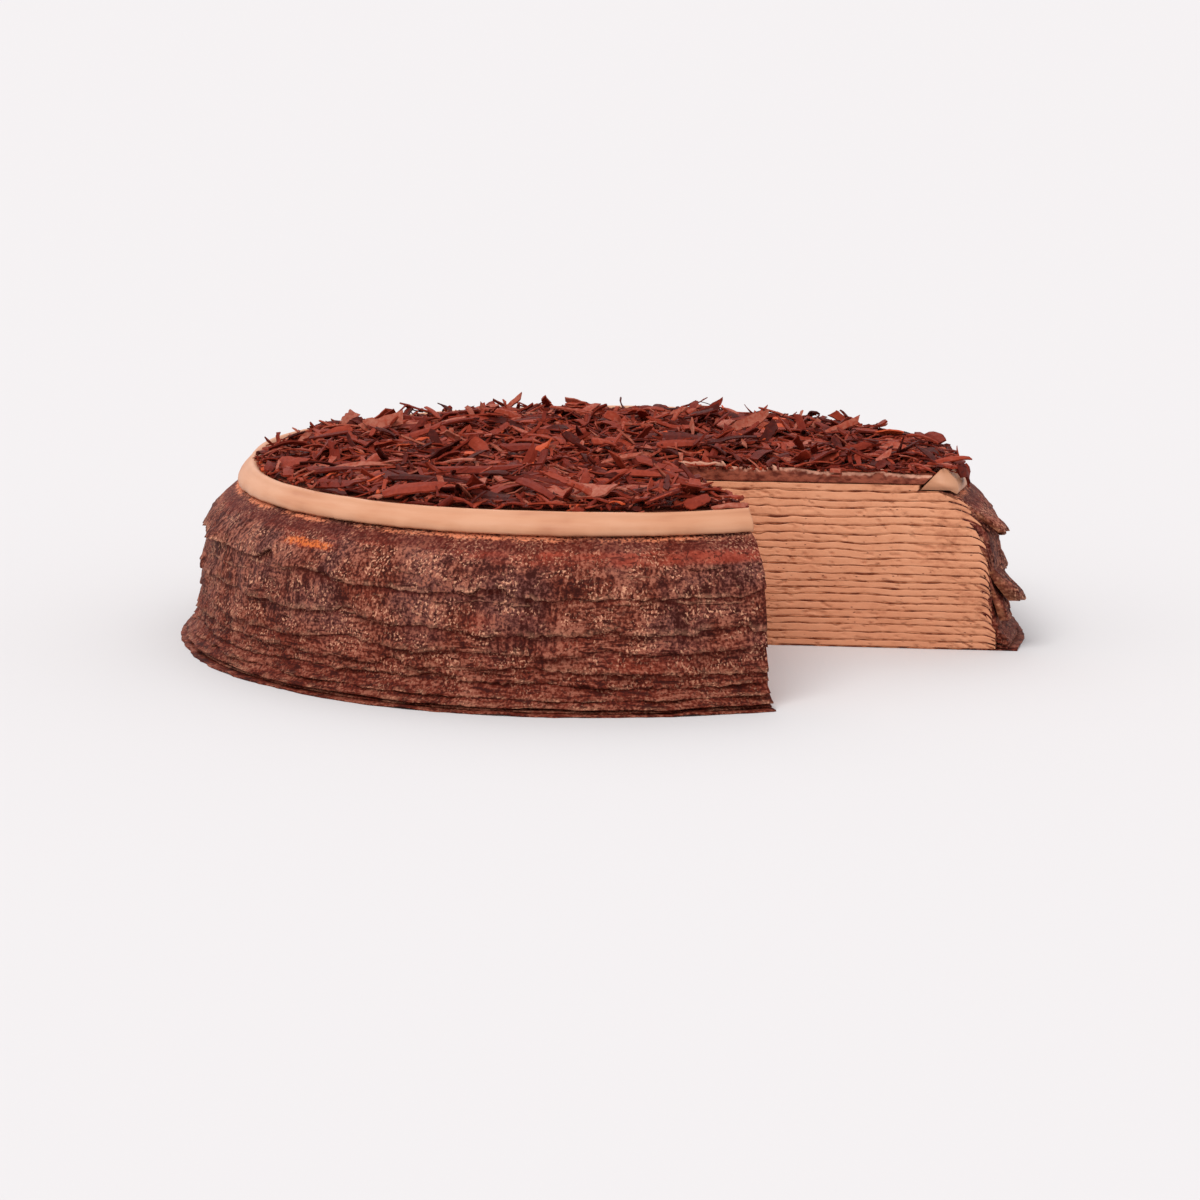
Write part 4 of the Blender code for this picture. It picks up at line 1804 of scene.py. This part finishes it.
@dataclass
class ShavingHeap:
    """The heap of chocolate shavings: a rough core, and shavings piled on it."""

    wedge: Wedge
    noise: Noise
    material: Material
    ring_surface: Heights
    node: str = "shavings"
    seed: int = 5
    height: float = 4.0 * MM
    rim: float = 100.6 * MM
    spill: float = 4.8 * MM
    poke: float = 1.8 * MM
    cover: float = 2.5 * MM
    core_back: float = 1.1 * MM
    core_columns: int = 420
    core_rows: int = 90
    core_inset: float = 2.6 * MM
    core_tint: float = 0.32
    lower_right: float = 1.2 * MM
    overhang: float = 1.3 * MM
    highest: float = 59.2 * MM
    sample: float = 0.6 * MM
    steepest: float = 0.5
    most_rise: float = 2.6 * MM
    large_thickness: float = 0.7 * MM
    base: float = field(init=False)
    rng: np.random.Generator = field(init=False)
    ground: HeightField = field(init=False)

    def __post_init__(self) -> None:
        """Reads the height of the ganache under the heap, and readies the draws and the grid."""
        self.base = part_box(self.node)[0].z
        self.rng = np.random.default_rng(self.seed)
        self.ground = self.start()

    def spilled(self, x: Array, y: Array) -> Array:
        """Gives where shavings lie over the ring too: 1 at the end of the far cut, 0 elsewhere."""
        return ease(math.radians(48.0), math.radians(18.0), np.abs(np.arctan2(y, x) + math.radians(4.0)))

    def mound(self, x: Array, y: Array) -> Array:
        """Gives how high the heap is to be over the ganache.

        Args:
            x: The places' x.
            y: The places' y.

        Returns:
            The heights.
        """
        radius = np.hypot(x, y)
        dome = self.height * (1.0 - 0.50 * (radius / self.rim) ** 2.4)
        lumps = self.noise.over(17.0, 17.0, x, y, 51.0, 3) * 1.9 * MM
        edge = ease(self.rim + 2.0 * MM, self.rim - 7.0 * MM, radius)
        cut = 0.45 + 0.55 * ease(-1.0 * MM, 8.0 * MM, self.wedge.inside(x, y))
        lower = self.lower_right * ease(60.0 * MM, 95.0 * MM, x)
        return np.maximum((dome + lumps - lower) * (0.35 + 0.65 * edge) * cut, 0.2 * MM)

    def core_height(self, x: Array, y: Array) -> Array:
        """Gives the height of the core's rough top."""
        crumbs = self.noise.over(1.5, 1.5, x, y, 52.0, 3) * 0.7 * MM
        covered = np.maximum(self.mound(x, y) - self.cover, 0.4 * MM)
        return self.base + np.maximum(covered + crumbs, 0.15 * MM)

    def make_core(self) -> None:
        """Builds the core, a little smaller than the heap all round."""
        wedge = self.wedge.inset(self.core_back)
        ways = wedge.ways(self.core_columns)
        share = np.linspace(0.012, 1.0, self.core_rows)[:, None]
        distance = share * wedge.reach(ways, self.rim - self.core_inset)
        x, y = wedge.flat(ways, distance)
        # Painted shade: the core's top takes the darkest chocolate tone, so the gaps between the shavings
        # read as shade; near the cuts it is lighter.
        tint = self.core_tint * ease(6.0 * MM, 2.0 * MM, self.wedge.inside(x, y))
        top_at = wedge.place(ways, distance, self.core_height(x, y))
        low_at = wedge.place(ways, distance, self.base)
        form = Form()
        top = form.add_points(top_at, tint=tint)
        sides = {index: form.add_points(low_at[:, index], tint=self.core_tint) for index in (0, -1)}
        rim = form.add_points(low_at[-1, 1:-1], tint=0.0)
        rim = join([sides[0][-1:], rim, sides[-1][-1:]])
        apex_at = wedge.place(0.0, 0.0, np.array([float(top_at[0, :, 2].mean()), self.base]))
        apex = form.add_points(apex_at, tint=self.core_tint)
        form.add_grid(top)
        form.add_polygon(join([apex[:1], top[0]]))
        form.add_grid(np.stack([top[-1], rim]))
        for index in (0, -1):
            edge = np.stack([np.append(apex[:1], top[:, index]), np.append(apex[1:], sides[index])])
            form.add_grid(edge, flip=index == -1)
        form.add_polygon(join([apex[1:], sides[0][:-1], rim, sides[-1][-2::-1]])[::-1])
        hand_over(form.build("shavings_core"), self.material, self.node)

    def draw(self, kind: ShavingKind) -> Triple:
        """Draws the size of a shaving, with small ones more common.

        Args:
            kind: Its kind.

        Returns:
            The length, the width and the thickness.
        """
        sizes = SHAVINGS[kind]
        length = sizes.length[0] + (sizes.length[1] - sizes.length[0]) * self.rng.beta(1.3, 2.2)
        width = sizes.width[0] + (sizes.width[1] - sizes.width[0]) * self.rng.beta(1.4, 2.0)
        return length, width, self.rng.uniform(*sizes.thickness)

    def lay(self, spot: Pair, size: Triple, turn: tuple[float, float, float | None]) -> Laid:
        """Lays one shaving on the heap, which it raises.

        Args:
            spot: The x and y of its middle.
            size: Its length, width and thickness.
            turn: Its roll, its yaw, and its pitch or None for however it comes to rest.

        Returns:
            The shaving in its place.
        """
        ground = self.ground
        length, width, thickness = size
        roll, yaw, pitch = turn
        count = max(3, int(length / self.sample))
        along = np.repeat(np.linspace(-0.46, 0.46, count) * length, 3)
        across = np.tile(np.array([-0.4, 0.0, 0.4]) * width * math.cos(roll), count)
        along = along * (1.0 if pitch is None else math.cos(pitch))
        x = spot[0] + along * math.cos(yaw) - across * math.sin(yaw)
        y = spot[1] + along * math.sin(yaw) + across * math.cos(yaw)
        steep = min(self.steepest, self.most_rise / length)
        middle, slope = ground.rest(x, y, along, steep, thickness * 0.9)
        lift = 0.5 * thickness + 0.25 * width * abs(math.sin(roll))
        if pitch is None:
            ground.raise_to(x, y, middle + slope * along + lift + 0.3 * thickness)
        else:
            slope = -math.tan(pitch)
            rise = 0.5 * length * abs(math.sin(pitch)) + 0.3 * width * abs(math.sin(roll))
            here = ground.spots(x, y)
            middle = float(ground.heights[here].mean()) + 0.75 * rise
            most = float(ground.target[here].mean()) + self.poke - rise + 1.0 * MM
            middle = min(middle, self.highest - rise, most)
        place = (spot[0], spot[1], middle + lift)
        return Laid(place, (roll, -math.atan(slope), yaw), size, int(self.rng.integers(0, 100)))

    def start(self) -> HeightField:
        """Makes the grid with the core and the ring on it, the height aimed for, and the room for shavings.

        Returns:
            The grid.
        """
        ground = HeightField()
        x, y = ground.grid()
        radius, inside = np.hypot(x, y), self.wedge.inside(x, y)
        spilled = self.spilled(x, y)
        core = np.where(inside > self.core_back, self.core_height(x, y), self.base)
        ring = self.ring_surface(x, y)
        ground.heights = np.where(radius < self.rim - self.core_inset, core, ring)
        over_ring = np.where(radius > self.rim - 4.0 * MM, ring + 1.8 * MM * spilled, 0.0)
        ground.set_aim(np.maximum(self.base + self.mound(x, y), over_ring * (spilled > 0.0)))
        ground.room = np.minimum(inside + self.overhang, self.rim + self.spill * spilled - radius)
        return ground

    def pile(self) -> dict[ShavingKind, list[Laid]]:
        """Lays all shavings, one on another, until the heap has its height.

        Returns:
            The shavings of each kind.
        """
        rng = self.rng
        laid: dict[ShavingKind, list[Laid]] = {kind: [] for kind in ShavingKind}
        kinds = [kind for kind in ShavingKind for _ in range(SHAVINGS[kind].count)]
        rng.shuffle(kinds)
        hand_laid = len(kinds) * 7 // 8
        for turn, kind in enumerate(kinds):
            if turn == hand_laid:
                laid[ShavingKind.PLATE] += [self.lay_large(large) for large in LARGE_SHAVINGS]
            size = self.draw(kind)
            yaw = rng.uniform(0.0, 2.0 * math.pi)
            spot = self.ground.free_spot(0.46 * size[0], yaw, rng)
            roll = rng.normal(0.0, 0.32)
            pitch = None
            if rng.uniform() < SHAVINGS[kind].steep:
                pitch = rng.choice([-1.0, 1.0]) * rng.uniform(0.25, 0.8)
                roll = rng.uniform(-1.1, 1.1)
            laid[kind].append(self.lay(spot, size, (roll, yaw, pitch)))
        return laid

    def lay_large(self, large: LargeShaving) -> Laid:
        """Lays one of the large shavings, at its own height if it has one.

        Args:
            large: The shaving.

        Returns:
            The shaving in its place.
        """
        spot = (large.x * MM, large.y * MM)
        size = (large.length * MM, large.width * MM, self.large_thickness)
        if large.height is None:
            return self.lay(spot, size, (large.roll, large.yaw, large.pitch))
        turn = (large.roll, large.pitch or 0.0, large.yaw)
        return Laid((*spot, large.height * MM), turn, size, int(self.rng.integers(0, 100)))

    def make(self) -> None:
        """Builds the core and every kind of shaving."""
        self.make_core()
        laid = self.pile()
        shapes = ShavingShapes(np.random.default_rng(self.seed + 1))
        for kind in ShavingKind:
            piece = ShavingScatter(kind, self.material).make(laid[kind], shapes)
            hand_over(piece, self.material)


@dataclass
class ShavingScatter:
    """Puts a shape on the place of every shaving of one kind, by Geometry Nodes."""

    kind: ShavingKind
    material: Material

    def tree(self) -> bpy.types.NodeTree:
        """Builds the node tree, whose inputs are the places, the shapes, the finish and the seed.

        Returns:
            The tree.
        """
        tree = bpy.data.node_groups.new(f"scatter_{self.kind.value}", "GeometryNodeTree")
        for name, kind in (
            ("Places", "Geometry"),
            ("Shapes", "Collection"),
            ("Finish", "Material"),
            ("Seed", "Int"),
        ):
            tree.interface.new_socket(name, in_out="INPUT", socket_type=f"NodeSocket{kind}")
        tree.interface.new_socket("Heap", in_out="OUTPUT", socket_type="NodeSocketGeometry")
        graph = NodeGraph(tree)
        given = graph.node("NodeGroupInput")
        turn, size, shape = (
            graph.node("GeometryNodeInputNamedAttribute", {"Name": name}, data_type=kind).outputs[0]
            for name, kind in (("turn", "FLOAT_VECTOR"), ("size", "FLOAT_VECTOR"), ("shape", "INT"))
        )
        shapes = graph.node(
            "GeometryNodeCollectionInfo",
            {"Collection": given.outputs["Shapes"], "Separate Children": True, "Reset Children": True},
        )
        placed = graph.node(
            "GeometryNodeInstanceOnPoints",
            {
                "Points": given.outputs["Places"],
                "Instance": shapes.outputs[0],
                "Pick Instance": True,
                "Instance Index": shape,
                "Rotation": graph.node("FunctionNodeEulerToRotation", {0: turn}).outputs[0],
                "Scale": size,
            },
        )
        tint = graph.node("FunctionNodeRandomValue", {"Seed": given.outputs["Seed"]}, data_type="FLOAT")
        stored = graph.node(
            "GeometryNodeStoreNamedAttribute",
            {"Geometry": placed.outputs[0], "Name": "tint", "Value": tint.outputs[1]},
            data_type="FLOAT",
            domain="INSTANCE",
        )
        real = graph.node("GeometryNodeRealizeInstances", {"Geometry": stored.outputs[0]})
        dressed = graph.node(
            "GeometryNodeSetMaterial", {"Geometry": real.outputs[0], "Material": given.outputs["Finish"]}
        )
        graph.node("NodeGroupOutput", {0: dressed.outputs[0]})
        return tree

    def points(self, laid: list[Laid]) -> Object:
        """Makes a mesh with a point for every shaving, which holds its turn, its size and its shape.

        Args:
            laid: The shavings.

        Returns:
            The object.
        """
        mesh = bpy.data.meshes.new(f"places_{self.kind.value}")
        mesh.vertices.add(len(laid))
        mesh.vertices.foreach_set("co", np.array([one.place for one in laid], np.float32).reshape(-1))
        for name in ("turn", "size"):
            stored = mesh.attributes.new(name, "FLOAT_VECTOR", "POINT")
            values = np.array([getattr(one, name) for one in laid], np.float32)
            stored.data.foreach_set("vector", values.reshape(-1))
        stored = mesh.attributes.new("shape", "INT", "POINT")
        chosen = np.array([one.shape % SHAPES_OF_A_KIND for one in laid], np.int32)
        stored.data.foreach_set("value", chosen)
        return link(mesh.name, mesh)

    def make(self, laid: list[Laid], shapes: ShavingShapes) -> Object:
        """Builds the piece.

        Args:
            laid: The shavings.
            shapes: Where their shapes come from.

        Returns:
            The piece, as a plain mesh.
        """
        kept = bpy.data.collections.new(f"shapes_{self.kind.value}")
        for number in range(SHAPES_OF_A_KIND):
            made = shapes.shape(self.kind).build(f"{self.kind.value}_{number:02d}", smooth=False)
            bpy.context.scene.collection.objects.unlink(made)
            kept.objects.link(made)
        holder = self.points(laid)
        scatter = holder.modifiers.new("scatter", "NODES")
        scatter.node_group = self.tree()
        given = {"Shapes": kept, "Finish": self.material, "Seed": 7}
        for item in scatter.node_group.interface.items_tree:
            if item.name in given:
                scatter[item.identifier] = given[item.name]
        graph = bpy.context.evaluated_depsgraph_get()
        mesh = bpy.data.meshes.new_from_object(holder.evaluated_get(graph))
        mesh.name = f"chocolate_{self.kind.value}"
        bpy.data.objects.remove(holder)
        for made in list(kept.objects):
            bpy.data.objects.remove(made)
        bpy.data.collections.remove(kept)
        return link(mesh.name, mesh)


@dataclass(frozen=True)
class SoftLight:
    """A far soft lamp that shines evenly on the cake and the floor."""

    name: str
    toward: Triple
    spread: float
    strength: float
    color: Color = (1.0, 1.0, 1.0)


@dataclass
class Studio:
    """The floor, the lamps and the camera."""

    floor_radius: float = 40.0
    camera_place: Triple = (0.0, -0.988, 0.1937)
    camera_down: float = math.radians(10.64)
    lens: float = 102.66
    shift: float = -0.0022
    sky: Color = shade(0.955, 0.945, 0.95)
    lamps: tuple[SoftLight, ...] = (
        SoftLight("key", (0.38, 0.62, -1.0), math.radians(32.0), 1.5, (1.0, 0.985, 0.965)),
        SoftLight("back", (0.25, -0.85, -0.9), math.radians(40.0), 0.5),
    )

    def make_floor(self) -> None:
        """Builds the floor, a wide round slab whose edge is out of sight."""
        radius = np.array([0.4, 2.0, 10.0, self.floor_radius])[:, None]
        around = np.linspace(0.0, 2.0 * math.pi, 97)[:-1]
        form = Form()
        flat = 0.0 * radius * around
        grid = form.add_points(np.stack([radius * np.cos(around), radius * np.sin(around), flat], -1))
        form.add_grid(join([grid, grid[:, :1]], axis=1))
        form.add_polygon(grid[0])
        floor = form.build("pale_floor")
        floor.data.materials.append(PaleFloor().material())

    def make_lamps(self) -> None:
        """Makes the lamps and the even light of the room."""
        for lamp in self.lamps:
            light = bpy.data.lights.new(lamp.name, "SUN")
            light.angle = lamp.spread
            light.energy = lamp.strength
            light.color = lamp.color
            obj = link(lamp.name, light)
            obj.location = Vector(lamp.toward) * -2.0
            obj.rotation_euler = Vector(lamp.toward).to_track_quat("-Z", "Y").to_euler()
        world = bpy.data.worlds.new("studio")
        world.use_nodes = True
        world.node_tree.nodes["Background"].inputs["Color"].default_value = (*self.sky, 1.0)
        bpy.context.scene.world = world

    def make_camera(self) -> None:
        """Makes the camera, with a plain view transform so that colours stay as they are set."""
        camera = bpy.data.cameras.new("camera")
        camera.lens = self.lens
        camera.shift_x = self.shift
        obj = link("camera", camera)
        obj.location = self.camera_place
        obj.rotation_euler = (math.pi / 2 - self.camera_down, 0.0, 0.0)
        bpy.context.scene.camera = obj
        bpy.context.scene.view_settings.view_transform = "Standard"

    def make(self) -> None:
        """Builds the whole studio."""
        self.make_floor()
        self.make_lamps()
        self.make_camera()


def main() -> None:
    """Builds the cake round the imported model."""
    logging.basicConfig(level=logging.INFO, format="%(name)s: %(message)s")
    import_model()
    wedge = Wedge()
    stack = Stack()
    noise = Noise(3)
    cuts = CutFaces(noise, stack)
    ring = CreamRing(wedge, noise, PipedCream().material())
    Studio().make()
    CrepeStack(wedge, stack, cuts, noise, BrownedCrepe().material()).make()
    CreamLayers(wedge, stack, cuts, ChocolateCream().material()).make()
    ring.make()
    GanacheLayer(wedge, cuts, noise, GanacheGlaze().material()).make()
    ShavingHeap(wedge, noise, DarkChocolate().material(), ring.surface).make()


if __name__ == "__main__":
    main()
